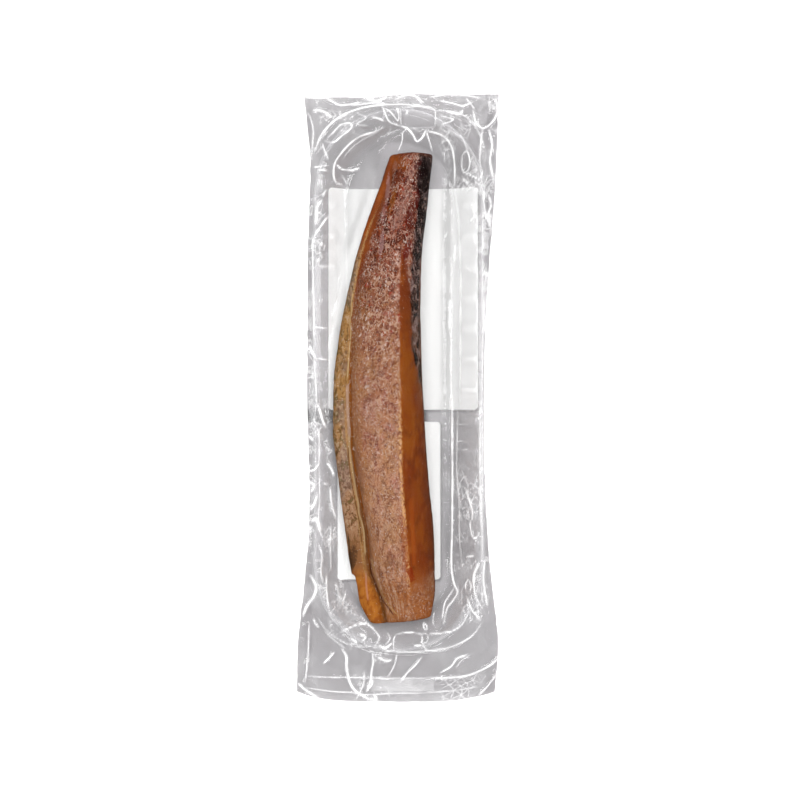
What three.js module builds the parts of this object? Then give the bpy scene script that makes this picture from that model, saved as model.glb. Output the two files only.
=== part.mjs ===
// A smoked bonito fillet in a clear vacuum pouch, lying on its back as it lies on a shelf.
// The pouch is drawn tight round a shallow ribbed tray with round ends, and the fillet stands up
// out of the tray. Two blank labels are stuck to the pouch's underside.
// Millimetres. +Z is up, +Y points to the pouch's top edge, and the origin is on the surface that
// the pack lies on, under the middle of the pouch.
import * as THREE from "three";

const { lerp, clamp, smoothstep } = THREE.MathUtils;

// ---- Driving dimensions ----

const PACK = { length: 300, film: 0.9 };

// The tray is a stadium: every height on it depends on the distance to its spine, a line along Y.
const TRAY = {
  x: 0.4,
  spineLow: -83,
  spineHigh: 101,
  floorRadius: 26.5,
  wallTopRadius: 38.5,
  crestRadius: 41,
  rimRadius: 42.2,
  floorTop: 2,
  wallTop: 12.6,
  crest: 14,
  rimFoot: 12.2,
  thickness: 1.4,
};

// The pouch's margin past the rim droops outwards and waves across and along. A wave's length is
// 2 pi times the value here, and its height grows over the margin's first part.
const MARGIN = { droop: 0.12, wave: 0.8, growth: 6, across: 8, phase: 1, along: 11 };

// The moulded ribs that stiffen the long walls. They need some room outside the skirt.
const RIB = { pitch: 15.2, first: -72, count: 12, halfWidth: 2, height: 1.1, room: 3 };

// Rings of points up the tray's wall: the radius, the least share of the way from the skirt to the
// wall's top, and how much of a rib's height stands on the ring.
const WALL_RINGS = [
  { radius: TRAY.floorRadius, share: 0.15, rib: 0 },
  { radius: 32, share: 0.4, rib: 0.9 },
  { radius: 36.5, share: 0.75, rib: 1 },
  { radius: TRAY.wallTopRadius, share: 1, rib: 0.6 },
];

// Rings on the margin, as shares of the way from the rim to the pouch's edge.
const MARGIN_RINGS = { top: [0.35, 0.7, 1], under: [1, 0.6] };

// What the film round the fillet does: it hangs from the fillet's widest line and runs out to the
// floor, steeply beside the long sides and as a longer tent at the two cut ends. Its middle ring
// is this share of the way out and of the way up, so the tent sags.
const SKIRT = { side: 6, end: 10, endHeight: 10.5, limit: 37.6, middleOut: 0.4, middleUp: 0.3 };

// How far a ray turns from straight across to straight along, as the sine of its angle, while the
// gap, the skirt's width and the recess's height change from the long sides' to the ends'.
const TURN = { gap: [0, 0.5], width: [0.5, 0.95], height: [0.3, 0.9] };

const GAP = { fillet: 0.4, filletEnd: 1.2, label: 0.3, labelWall: 0.7, floorRing: 0.8 };

// The pouch's long edges, from bottom to top: how far each stands from the middle. The film is
// drawn in at the waist, where it wraps the tray's rim.
const POUCH_LEFT = {
  y: [-145, -119, -87, -62, 0, 80, 117, 150],
  x: [50, 49.3, 45.9, 43.9, 44.9, 44.4, 43.5, 46.8],
};
const POUCH_RIGHT = {
  y: [-145, -119, -90, -60, -5, 42, 97, 150],
  x: [48, 49.5, 46.2, 43.8, 42.6, 43.6, 47.6, 50],
};
const BOTTOM_BOW = 5; // the bottom edge bows out by this much between its corners
const TOP_SAG = 1.4; // the top edge is this much lower on the left
const TOP_STEP = [0.45, 0.65]; // and steps down between these shares of its width, from the right

// The fillet's stations, from the wide cut end at the bottom to the narrow one at the top.
// left and right: the two sides seen from above; ridge: the line where the flesh turns down into
// the right flank; crest: that line's height; groove: the line that parts the belly strip from it.
const STATION = {
  y: [-110, -99, -86, -64, -40, -17, 10, 34, 58, 82, 105, 120.5],
  left: [-12.6, -18.4, -22.4, -25.1, -28.4, -31.2, -31, -28, -22.6, -16.7, -7.9, -3.9],
  right: [15.2, 17.3, 17.6, 16.9, 14, 12.2, 10.8, 10.2, 10.3, 11.9, 15.1, 16.8],
  ridge: [6, 5.8, 5.3, 3.9, 2, 1.5, 1, 0.8, 0.9, 2.4, 5.4, 7.4],
  crest: [18.5, 22.5, 25.2, 27.6, 28.6, 28.8, 28.5, 27.6, 26, 23.4, 20, 17.4],
  groove: [-6.9, -9.3, -14.4, -17.1, -20.9, -23.5, -24.1, -23.6, -20.6, -14.6, -5.4, -1.6],
};
const CUT_TILT = 0.12; // the bottom cut isn't square: it climbs to the right by this much per mm
const CUT_REACH = 30; // and the sections above it turn square within this length
const END_ROUND = 2.2; // the cut ends are rounded off over this length
const END_SHRINK = 0.16; // by this share of the section
const END_CROWD = 0.25; // how much closer the stations stand near the cut ends

// The section across the fillet. Heights in mm: the widest lines over the tray, the belly strip's
// shoulder over the left one, and the groove beside it, which fades out towards the narrow end.
const SECTION = {
  leftEdge: 3.4,
  rightEdge: 6,
  shoulder: 3.3,
  shoulderRound: 0.6,
  lip: 0.5,
  groove: 1.1,
  grooveFade: [34, 70],
  ridgeWidth: 0.6,
  ridgeDrop: 0.3,
};
// Points between the section's lines, as shares of the way across and up or down.
const LEFT_FOOT = [0.15, 0]; // from the left side inwards, from the bottom up to the widest line
const LEFT_WALL = [0.04, 0.4];
const BELLY = [0.35, 0.75]; // from the left side to the groove
const FACE = [[0.2, 0.34], [0.5, 0.68], [0.8, 0.9], [0.96, 0.99]]; // from the groove to the ridge
const FLANK = [[0.4, 0.22], [0.75, 0.55]]; // from the ridge to the right side
const RIGHT_WALL = [0.03, 0.35]; // from the right side inwards, from the bottom up
const RIGHT_FOOT = [0.13, 0];

// A label bends up over this length where it meets a wall, and has a row of points this far past
// the end of the tray's spine, where the round end's wall begins.
const LABEL = { thickness: 0.3, corner: 2, cornerStep: 0.3, bend: 1, pastSpine: 3 };
const LABEL_LARGE = { left: -34.4, right: 39.2, low: -5.9, high: 104.3 };
const LABEL_SMALL = { left: -30, right: 21.2, low: -90.5, high: -11.8 };

const LOOK = {
  film: { color: 0xb9b7b9, roughness: 0.15, metalness: 0, transparent: true, opacity: 0.45 },
  flesh: { color: 0x96654c, roughness: 0.45, metalness: 0 },
  label: { color: 0xefefee, roughness: 0.6, metalness: 0 },
};

// How many steps and points the surfaces get.
const FINENESS = {
  filletStations: 40,
  filletPoints: 34,
  footprint: 60,
  outline: 30,
  fan: 6,
  labelLarge: 18,
  labelSmall: 20,
};

// ---- Smooth curves through a few stations ----

// A function of y through one or more columns of stations, which run from low to high y.
function through(y, ...columns) {
  const values = new Float32Array(y.flatMap((_, i) => columns.map((column) => column[i])));
  const curve = new THREE.CubicInterpolant(new Float32Array(y), values, columns.length);
  return (at) => Array.from(curve.evaluate(clamp(at, y[0], y[y.length - 1])));
}

const filletAt = through(
  STATION.y,
  STATION.left,
  STATION.right,
  STATION.ridge,
  STATION.crest,
  STATION.groove,
);
const FILLET_LOW = STATION.y[0];
const FILLET_HIGH = STATION.y[STATION.y.length - 1];

// ---- The tray ----

// How far a point is from the tray's spine.
function spineDistance(x, y) {
  return Math.hypot(x - TRAY.x, y - clamp(y, TRAY.spineLow, TRAY.spineHigh));
}

// The tray's profile: its height at each radius, with straight runs between.
const PROFILE = [
  { radius: 0, height: TRAY.floorTop },
  { radius: TRAY.floorRadius, height: TRAY.floorTop },
  { radius: TRAY.wallTopRadius, height: TRAY.wallTop },
  { radius: TRAY.crestRadius, height: TRAY.crest },
  { radius: TRAY.rimRadius, height: TRAY.rimFoot },
];

// The height of the film on the tray, and past its rim the pouch's margin, which droops and waves.
function trayTop(x, y) {
  const r = spineDistance(x, y);
  if (r <= TRAY.rimRadius) {
    const next = Math.max(1, PROFILE.findIndex(({ radius }) => r <= radius));
    const [inner, outer] = [PROFILE[next - 1], PROFILE[next]];
    return lerp(inner.height, outer.height, (r - inner.radius) / (outer.radius - inner.radius));
  }
  const past = r - TRAY.rimRadius;
  const grown = MARGIN.wave * Math.min(1, past / MARGIN.growth);
  const wave = grown * Math.sin(x / MARGIN.across + MARGIN.phase) * Math.cos(y / MARGIN.along);
  return TRAY.rimFoot - MARGIN.droop * past + wave;
}

// The underside: the tray's sheet under its floor and wall, the thin film past its rim.
function trayUnder(x, y) {
  const r = spineDistance(x, y);
  const thick = lerp(TRAY.thickness, PACK.film, smoothstep(r, TRAY.wallTopRadius, TRAY.rimRadius));
  return trayTop(x, y) - thick;
}

// How much of a rib there is at this place along the tray, from 0 to 1.
function ribAt(y) {
  const nearest = clamp(Math.round((y - RIB.first) / RIB.pitch), 0, RIB.count - 1);
  return Math.max(0, 1 - Math.abs(y - RIB.first - nearest * RIB.pitch) / RIB.halfWidth);
}

// ---- The fillet ----

// How far the section at y leans, so that the bottom cut runs at a slant.
function cutTilt(y) {
  return CUT_TILT * (1 - smoothstep(y, FILLET_LOW, FILLET_LOW + CUT_REACH));
}

// The height of the fillet's widest line on each side, where it rests in the tray.
function edgeHeights(y) {
  const [left, right] = filletAt(y);
  return [trayTop(left, y) + SECTION.leftEdge, trayTop(right, y) + SECTION.rightEdge];
}

// One closed section across the fillet, as points in x and z, from the left foot over the top.
function filletSection(y, points) {
  const [left, right, ridge, crest, groove] = filletAt(y);
  const [edgeLeft, edgeRight] = edgeHeights(y);
  const bottom = TRAY.floorTop;
  const depth = SECTION.groove * (1 - smoothstep(y, ...SECTION.grooveFade));
  const shoulder = edgeLeft + SECTION.shoulder;
  const fromLeft = ([across, up]) => [lerp(left, right, across), lerp(bottom, edgeLeft, up)];
  const fromRight = ([across, up]) => [lerp(right, left, across), lerp(bottom, edgeRight, up)];
  const face = ([across, up]) => [lerp(groove, ridge, across), lerp(shoulder, crest, up)];
  const flank = ([across, down]) => [lerp(ridge, right, across), lerp(crest, edgeRight, down)];
  const outline = [
    fromLeft(LEFT_FOOT),
    fromLeft(LEFT_WALL),
    [left, edgeLeft],
    [lerp(left, groove, BELLY[0]), shoulder - SECTION.shoulderRound],
    [lerp(left, groove, BELLY[1]), shoulder],
    [groove, shoulder + SECTION.lip - depth],
    ...FACE.map(face),
    [ridge + SECTION.ridgeWidth, crest - SECTION.ridgeDrop],
    ...FLANK.map(flank),
    [right, edgeRight],
    fromRight(RIGHT_WALL),
    fromRight(RIGHT_FOOT),
    [(left + right) / 2, bottom],
  ];
  const curve = new THREE.CatmullRomCurve3(
    outline.map(([x, z]) => new THREE.Vector3(x, 0, z)),
    true,
    "centripetal",
  );
  return Array.from({ length: points }, (_, i) => curve.getPoint(i / points));
}

// The fillet lies on the tray: nothing of it comes nearer than the gap.
function onTray(x, y, z) {
  return Math.max(z, trayTop(x, y) + GAP.fillet);
}

// The fillet seen from above, as a closed loop of points that starts at the lower right corner.
function filletFootprint(steps) {
  const heights = Array.from({ length: steps + 1 }, (_, i) =>
    lerp(FILLET_LOW, FILLET_HIGH, i / steps),
  );
  const side = (column) =>
    heights.map((y) => {
      const x = filletAt(y)[column];
      return new THREE.Vector2(x, y + cutTilt(y) * x);
    });
  return [...side(1), ...side(0).reverse()];
}

// Where the station at this share of the way stands. Stations crowd towards both rounded ends.
function stationAt(along) {
  const crowd = 1 - END_CROWD * (1 - Math.abs(2 * along - 1));
  return lerp(FILLET_LOW, FILLET_HIGH, 0.5 - 0.5 * Math.cos(Math.PI * along) * crowd);
}

// How much of the section's size is left at y, where the cut ends are rounded off.
function endShrink(y) {
  const toEnd = Math.min(y - FILLET_LOW, FILLET_HIGH - y);
  const round = Math.min(1, toEnd / END_ROUND);
  return 1 - END_SHRINK * (1 - Math.sqrt(1 - (1 - round) ** 2));
}

// The section at y in its place along the pack.
function filletRing(y, points) {
  const section = filletSection(y, points);
  const middle = section
    .reduce((sum, p) => sum.add(p), new THREE.Vector3())
    .divideScalar(points);
  const shrink = endShrink(y);
  return section.map((p) => {
    const x = lerp(middle.x, p.x, shrink);
    const z = lerp(middle.z, p.z, shrink);
    const tilted = y + cutTilt(y) * x;
    return new THREE.Vector3(x, tilted, onTray(x, tilted, z));
  });
}

function filletGeometry(stations, points) {
  const rings = Array.from({ length: stations + 1 }, (_, i) =>
    filletRing(stationAt(i / stations), points),
  );
  const surface = new Surface();
  const loops = rings.map((ring) => surface.loop(ring));
  for (let i = 1; i < loops.length; i++) {
    surface.band(loops[i], loops[i - 1]);
  }
  const flat = (ring) => ring.map((p) => new THREE.Vector2(p.x, p.z));
  surface.cap(loops[0], flat(rings[0]), true);
  surface.cap(loops[stations], flat(rings[stations]));
  return surface.geometry();
}

// ---- Closed surfaces made of loops ----

class Surface {
  positions = [];
  triangles = [];

  loop(points) {
    const first = this.positions.length / 3;
    points.forEach((p) => this.positions.push(p.x, p.y, p.z));
    return points.map((_, i) => first + i);
  }

  // The strip of quads between two loops of the same length.
  band(a, b) {
    a.forEach((_, i) => {
      const j = (i + 1) % a.length;
      this.triangles.push(a[i], b[i], b[j], a[i], b[j], a[j]);
    });
  }

  // Closes a loop whose flat outline is given.
  cap(loop, flat, turned = false) {
    for (const [a, b, c] of THREE.ShapeUtils.triangulateShape(flat, [])) {
      this.triangles.push(loop[a], ...(turned ? [loop[b], loop[c]] : [loop[c], loop[b]]));
    }
  }

  // Closes a loop that runs up one side and down the other, rung by rung.
  ladder(loop, start, turned = false) {
    const at = (i) => loop[(i + loop.length) % loop.length];
    const add = (a, b, c) => this.triangles.push(a, ...(turned ? [c, b] : [b, c]));
    for (let i = 0; i < loop.length / 2; i++) {
      const [r0, r1] = [at(start + i), at(start + i + 1)];
      const [l0, l1] = [at(start - i), at(start - i - 1)];
      if (r0 !== l0) {
        add(r0, r1, l0);
      }
      if (r1 !== l1) {
        add(r1, l1, l0);
      }
    }
  }

  geometry() {
    const made = new THREE.BufferGeometry();
    made.setAttribute("position", new THREE.Float32BufferAttribute(this.positions, 3));
    made.setIndex(this.triangles);
    made.computeVertexNormals();
    return made;
  }
}

// ---- The pouch with its tray ----

// Rays from a long side to a pouch corner, and from there to the middle of the end.
const FAN = FINENESS.fan;

// Every loop of the pouch has one point on each of these rays, which leave the spine square to
// the long sides and fan out round the two ends.
function trayRays() {
  const ribStations = Array.from({ length: RIB.count }, (_, i) => RIB.first + i * RIB.pitch).flatMap(
    (c) => [c - RIB.halfWidth, c, c + RIB.halfWidth],
  );
  const side = [TRAY.spineLow, ...ribStations, TRAY.spineHigh];
  const ray = (y, angle) => ({
    from: new THREE.Vector2(TRAY.x, y),
    to: new THREE.Vector2(Math.cos(angle), Math.sin(angle)),
  });
  // One ray of each quarter goes to the pouch's corner.
  const quarter = (y, corner) => {
    const angle = Math.atan2(Math.abs(corner.y - y), Math.abs(corner.x - TRAY.x));
    const right = Math.PI / 2;
    return Array.from({ length: 2 * FAN }, (_, i) =>
      i < FAN ? ((i + 1) * angle) / FAN : lerp(angle, right, (i + 1 - FAN) / FAN),
    );
  };
  const fan = (y, start, corner, nextCorner) => {
    const back = quarter(y, nextCorner).slice(0, -1).reverse();
    return [...quarter(y, corner), ...back.map((a) => Math.PI - a)].map((a) => ray(y, start + a));
  };
  const { topRight, topLeft, bottomLeft, bottomRight } = pouchCorners();
  return [
    ...side.map((y) => ray(y, 0)),
    ...fan(TRAY.spineHigh, 0, topRight, topLeft),
    ...[...side].reverse().map((y) => ray(y, Math.PI)),
    ...fan(TRAY.spineLow, Math.PI, bottomLeft, bottomRight),
  ];
}

// Where the pouch's four corners are, seen from above.
function pouchCorners() {
  const half = PACK.length / 2;
  const corner = (x, y) => new THREE.Vector2(x, y);
  return {
    topRight: corner(POUCH_RIGHT.x[POUCH_RIGHT.x.length - 1], half),
    topLeft: corner(-POUCH_LEFT.x[POUCH_LEFT.x.length - 1], half - TOP_SAG),
    bottomLeft: corner(-POUCH_LEFT.x[0], BOTTOM_BOW - half),
    bottomRight: corner(POUCH_RIGHT.x[0], BOTTOM_BOW - half),
  };
}

// How far along a ray the outermost crossing with a closed loop of points lies.
function reach(ray, polygon) {
  let furthest = 0;
  polygon.forEach((a, i) => {
    const side = polygon[(i + 1) % polygon.length].clone().sub(a);
    const offset = a.clone().sub(ray.from);
    const across = ray.to.cross(side);
    const along = offset.cross(side) / across;
    const part = offset.cross(ray.to) / across;
    if (across !== 0 && part >= 0 && part <= 1) {
      furthest = Math.max(furthest, along);
    }
  });
  return furthest;
}

// The pouch seen from above, as a closed loop of points.
function pouchOutline(steps) {
  const { topRight, topLeft, bottomLeft, bottomRight } = pouchCorners();
  const left = through(POUCH_LEFT.y, POUCH_LEFT.x);
  const right = through(POUCH_RIGHT.y, POUCH_RIGHT.x);
  const inside = Array.from({ length: steps - 1 }, (_, i) => (i + 1) / steps);
  const up = (edge, from, to) =>
    inside.map((t) => lerp(from.y, to.y, t)).map((y) => new THREE.Vector2(edge(y), y));
  const across = (from, to, lift) =>
    inside.map((t) => new THREE.Vector2(lerp(from.x, to.x, t), lerp(from.y, to.y, t) + lift(t)));
  return [
    bottomRight,
    ...up((y) => right(y)[0], bottomRight, topRight),
    topRight,
    ...across(topRight, topLeft, (t) => TOP_SAG * (t - smoothstep(t, ...TOP_STEP))),
    topLeft,
    ...up((y) => -left(y)[0], topLeft, bottomLeft),
    bottomLeft,
    ...across(bottomLeft, bottomRight, (t) => BOTTOM_BOW * ((2 * t - 1) ** 4 - 1)),
  ];
}

// The rays with what each meets on its way out: the recess round the fillet, the skirt's foot and
// the pouch's edge. end is 0 on the rays straight across and 1 on those straight along.
function pouchRays() {
  const fillet = filletFootprint(FINENESS.footprint);
  const edge = pouchOutline(FINENESS.outline);
  return trayRays().map((ray) => {
    const end = Math.abs(ray.to.y);
    const gap = lerp(GAP.fillet, GAP.filletEnd, smoothstep(end, ...TURN.gap));
    const recess = reach(ray, fillet) + gap;
    const width = lerp(SKIRT.side, SKIRT.end, smoothstep(end, ...TURN.width));
    const skirt = Math.min(SKIRT.limit, recess + width);
    return { ...ray, end, recess, skirt, edge: reach(ray, edge) };
  });
}

function pouchGeometry() {
  const rays = pouchRays();
  const surface = new Surface();
  const ring = (radius, height) =>
    surface.loop(
      rays.map((ray) => {
        const p = ray.from.clone().addScaledVector(ray.to, radius(ray));
        return new THREE.Vector3(p.x, p.y, height(p.x, p.y, ray));
      }),
    );

  // The wall between the skirt and the rim keeps its radii, squeezed where the skirt is wide.
  const wall = (radius, share) => (ray) =>
    Math.max(radius, lerp(ray.skirt, TRAY.wallTopRadius, share));
  const margin = (share) => (ray) => lerp(TRAY.rimRadius, ray.edge, share);
  const ribbed = (share) => (x, y, ray) => {
    const room = clamp((spineDistance(x, y) - ray.skirt) / RIB.room, 0, 1);
    return trayTop(x, y) + (ray.end === 0 ? share * RIB.height * room * ribAt(y) : 0);
  };
  const recessTop = (x, y, ray) => {
    const [edgeLeft, edgeRight] = edgeHeights(y);
    const side = ray.to.x < 0 ? edgeLeft : edgeRight;
    return lerp(side, SKIRT.endHeight, smoothstep(ray.end, ...TURN.height));
  };
  const skirtMiddle = (x, y, ray) => lerp(trayTop(x, y), recessTop(x, y, ray), SKIRT.middleUp);
  const flatRadius = (ray) => Math.min(TRAY.floorRadius, ray.recess - GAP.floorRing);

  const loops = [
    ring((ray) => flatRadius(ray) / 2, trayTop),
    ring(flatRadius, trayTop),
    ring((ray) => ray.recess, trayTop),
    ring((ray) => ray.recess, recessTop),
    ring((ray) => lerp(ray.recess, ray.skirt, SKIRT.middleOut), skirtMiddle),
    ring((ray) => ray.skirt, trayTop),
    ...WALL_RINGS.map(({ radius, share, rib }) => ring(wall(radius, share), ribbed(rib))),
    ring(() => TRAY.crestRadius, trayTop),
    ring(() => TRAY.rimRadius, trayTop),
    ...MARGIN_RINGS.top.map((share) => ring(margin(share), trayTop)),
    ...MARGIN_RINGS.under.map((share) => ring(margin(share), trayUnder)),
    ring(() => TRAY.rimRadius, trayUnder),
    ring(() => TRAY.crestRadius, trayUnder),
    ring(() => TRAY.wallTopRadius, trayUnder),
    ring(() => TRAY.floorRadius, trayUnder),
    ring(() => TRAY.floorRadius / 2, trayUnder),
  ];
  for (let i = 1; i < loops.length; i++) {
    surface.band(loops[i - 1], loops[i]);
  }
  const lowest = loops[0].length - 2 * FAN; // the ray that points straight at the bottom edge
  surface.ladder(loops[0], lowest);
  surface.ladder(loops[loops.length - 1], lowest, true);
  return surface.geometry();
}

// ---- The labels ----

// The places along the pouch where a label has a row of points: at its rounded corners, and where
// the tray under it changes.
function labelRows({ low, high }) {
  const { corner, cornerStep, pastSpine } = LABEL;
  const roundings = [0, cornerStep * corner, corner];
  const middles = [(low + high) / 2, TRAY.spineLow, TRAY.spineLow - pastSpine, TRAY.spineHigh];
  return [
    ...roundings.map((d) => low + d),
    ...middles.filter((y) => y > low + corner && y < high - corner).sort((a, b) => a - b),
    ...roundings.map((d) => high - d).reverse(),
  ];
}

// The places across it, with a column on each bend between the floor and a wall.
function labelColumns({ left, right }, across) {
  const columns = Array.from({ length: across + 1 }, (_, i) => lerp(left, right, i / across));
  for (const bend of [TRAY.x - TRAY.floorRadius, TRAY.x + TRAY.floorRadius]) {
    const nearest = Math.round(((bend - left) / (right - left)) * across);
    if (nearest > 0 && nearest < across) {
      columns[nearest] = bend;
    }
  }
  return columns;
}

// How far a label's sides stand back at y, where its corners are rounded.
function labelInset({ low, high }, y) {
  const { corner } = LABEL;
  const toCorner = corner - Math.min(corner, y - low, high - y);
  return corner - Math.sqrt(corner ** 2 - toCorner ** 2);
}

// How far a label stays under the pouch: the gap is measured straight down, so it is wider where
// the wall is steep.
function labelGap(x, y) {
  const bendEnd = TRAY.floorRadius + LABEL.bend;
  const onWall = smoothstep(spineDistance(x, y), TRAY.floorRadius, bendEnd);
  return lerp(GAP.label, GAP.labelWall, onWall);
}

// A thin plate that follows the pouch's underside: up both walls, flat under the floor.
function labelGeometry(label, across) {
  const { left, right } = label;
  const rows = labelRows(label);
  const columns = labelColumns(label, across);
  const surface = new Surface();
  const sheet = (drop) =>
    rows.map((y) => {
      const inset = labelInset(label, y);
      return surface.loop(
        columns.map((column) => {
          const inside = column === clamp(column, left + inset, right - inset);
          const share = clamp((column - left) / (right - left), 0, 1);
          const x = inside ? column : lerp(left + inset, right - inset, share);
          return new THREE.Vector3(x, y, trayUnder(x, y) - labelGap(x, y) - drop);
        }),
      );
    });
  const quad = (a, b, c, d) => surface.triangles.push(a, b, c, a, c, d);
  const top = sheet(0);
  const under = sheet(LABEL.thickness);
  for (let j = 1; j < rows.length; j++) {
    for (let i = 1; i <= across; i++) {
      quad(top[j - 1][i - 1], top[j - 1][i], top[j][i], top[j][i - 1]);
      quad(under[j - 1][i - 1], under[j][i - 1], under[j][i], under[j - 1][i]);
    }
    quad(top[j - 1][0], top[j][0], under[j][0], under[j - 1][0]);
    quad(top[j - 1][across], under[j - 1][across], under[j][across], top[j][across]);
  }
  const last = rows.length - 1;
  for (let i = 1; i <= across; i++) {
    quad(top[0][i - 1], under[0][i - 1], under[0][i], top[0][i]);
    quad(top[last][i - 1], top[last][i], under[last][i], under[last][i - 1]);
  }
  return surface.geometry();
}

// ---- The pack ----

function named(name, geometry, look) {
  const mesh = new THREE.Mesh(geometry, new THREE.MeshStandardMaterial(look));
  mesh.name = name;
  return mesh;
}

const pack = new THREE.Group();
pack.add(
  named("pouch", pouchGeometry(), LOOK.film),
  named("fillet", filletGeometry(FINENESS.filletStations, FINENESS.filletPoints), LOOK.flesh),
  named("label_large", labelGeometry(LABEL_LARGE, FINENESS.labelLarge), LOOK.label),
  named("label_small", labelGeometry(LABEL_SMALL, FINENESS.labelSmall), LOOK.label),
);

export default pack;
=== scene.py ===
"""Smoked bonito fillet in a clear vacuum pouch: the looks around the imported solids.

Shapes are worked out in millimetres and made in metres, in the solids' own frame: +Z up, +Y towards
the narrow end of the fillet. Folds are placed by pixels of the 800 x 800 photograph.
"""

import bpy
import numpy as np
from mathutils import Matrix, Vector


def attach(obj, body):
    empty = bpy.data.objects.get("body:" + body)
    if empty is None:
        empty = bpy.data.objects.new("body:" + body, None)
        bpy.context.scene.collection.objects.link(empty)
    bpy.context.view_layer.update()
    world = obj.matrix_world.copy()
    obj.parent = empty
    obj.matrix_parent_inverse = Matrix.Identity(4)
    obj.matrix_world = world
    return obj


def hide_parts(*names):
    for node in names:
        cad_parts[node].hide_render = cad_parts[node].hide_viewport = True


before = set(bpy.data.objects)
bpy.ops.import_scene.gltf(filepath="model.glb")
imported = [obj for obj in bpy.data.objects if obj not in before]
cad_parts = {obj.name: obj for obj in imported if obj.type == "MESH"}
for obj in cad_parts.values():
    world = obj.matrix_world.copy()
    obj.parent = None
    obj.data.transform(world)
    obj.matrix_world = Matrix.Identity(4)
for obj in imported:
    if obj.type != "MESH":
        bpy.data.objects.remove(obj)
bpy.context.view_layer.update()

MM = 0.001

# ---- Driving dimensions, as in the solids' source ----

TRAY = {
    "x": 0.4, "low": -83, "high": 101,
    "radii": [0, 26.5, 38.5, 41, 42.2], "heights": [2, 2, 12.6, 14, 12.2],
}
MARGIN_DROOP, MARGIN_WAVE = 0.12, 0.8
RIB = {"pitch": 15.2, "first": -72, "count": 12, "half": 2.0, "height": 1.1, "from": 29.5, "to": 39}
POUCH_LEFT = [[-145, -119, -87, -62, 0, 80, 117, 150], [50, 49.3, 45.9, 43.9, 44.9, 44.4, 43.5, 46.8]]
POUCH_RIGHT = [[-145, -119, -90, -60, -5, 42, 97, 150], [48, 49.5, 46.2, 43.8, 42.6, 43.6, 47.6, 50]]
HALF_LENGTH, BOTTOM_BOW, TOP_SAG = 150, 5, 1.4
STATION = {
    "y": [-110, -99, -86, -64, -40, -17, 10, 34, 58, 82, 105, 120.5],
    # The soft flesh bulges about 1 mm further to both sides than the rigid solid.
    "left": [-13.1, -19.3, -23.3, -26.4, -29.7, -31.8, -31.6, -28.6, -23.8, -17.1, -9.1, -3.9],
    "right": [16, 18.1, 18.1, 17.5, 15.3, 13.5, 12, 11.3, 11.1, 12.9, 15.6, 17.3],
    "ridge": [6, 5.8, 5.3, 3.9, 2, 1.5, 1, 0.8, 0.9, 2.4, 5.4, 7.4],
    "crest": [18.5, 22.5, 25.2, 27.6, 28.6, 28.8, 28.5, 27.6, 26, 23.4, 20, 17.4],
    "groove": [-6.9, -9.3, -14.4, -17.1, -20.9, -23.5, -24.1, -23.6, -20.6, -14.6, -5.4, -1.6],
}
# How high the fillet's side edges lie over the tray and the shoulder over the left one, and how deep
# the groove is beside it.
EDGES = {"left": 3.4, "right": 6, "shoulder": 3.3, "groove": 1.5}
# The lean of the wide end's cut and how far it reaches, and the rounding of both ends: how long it is
# and how much smaller it makes the section.
CUT_TILT, CUT_REACH, END_ROUND, END_SHRINK = 0.12, 30, 1.5, 0.1
LABELS = {
    "label_large": {"left": -34.4, "right": 39.2, "low": -5.9, "high": 104.3},
    "label_small": {"left": -30, "right": 21.2, "low": -90.5, "high": -11.8},
}
LABEL_CORNER = 2.0
# The film's upper and lower sheet: columns and rows of points, and the gaps under the upper one.
FILM_GRID, BACK_GRID = (206, 484), (130, 320)
FILM_OVER_TRAY, FILM_OVER_FLESH = 0.15, 0.35
PULLS, PULL_STEP = 420, 0.012  # how often and how far the vacuum pulls the film down

# ---- The camera, which gives every pixel its place ----

PIXEL = 0.4918  # mm a pixel at the height of the tray's rim
MID_PIXEL = (398, 398)  # the pixel over the origin
PICTURE, SENSOR = 800, 36  # the picture's side in pixels, the camera's sensor in mm
CAMERA_HEIGHT, RIM_LEVEL = 870, 13


def through(table, at):
    """A smooth curve through a table's stations, at any places."""
    x, v = np.asarray(table[0], float), np.asarray(table[1], float)
    rise = np.diff(v) / np.diff(x)
    slope = np.r_[rise[0], (rise[1:] + rise[:-1]) / 2, rise[-1]]
    at = np.clip(at, x[0], x[-1])
    i = np.clip(np.searchsorted(x, at, side="right") - 1, 0, len(x) - 2)
    step = x[i + 1] - x[i]
    t = (at - x[i]) / step
    return (
        v[i] * (1 + 2 * t) * (1 - t) ** 2 + v[i + 1] * t * t * (3 - 2 * t)
        + step * (slope[i] * t * (1 - t) ** 2 - slope[i + 1] * t * t * (1 - t))
    )


def smooth(v, low, high):
    t = np.clip((v - low) / (high - low), 0, 1)
    return t * t * (3 - 2 * t)


def lerp(a, b, t):
    return a + (b - a) * t


def cloud(x, y, cell, seed):
    """Smooth noise from -1 to 1, with lumps of about the cell's size and of half of it."""
    total, weight = 0, 0
    for k in range(2):
        table = np.random.default_rng([seed, k]).uniform(-1, 1, (128, 128))
        u, v = x / cell * 2**k + 31.7 * k, y / cell * 2**k + 17.3 * k
        i, j = np.floor(u).astype(int), np.floor(v).astype(int)
        a, b = smooth(u - i, 0, 1), smooth(v - j, 0, 1)
        near = lerp(table[i % 128, j % 128], table[(i + 1) % 128, j % 128], a)
        far = lerp(table[i % 128, (j + 1) % 128], table[(i + 1) % 128, (j + 1) % 128], a)
        total = total + lerp(near, far, b) / 2**k
        weight += 1 / 2**k
    return total / weight * 1.4


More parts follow.
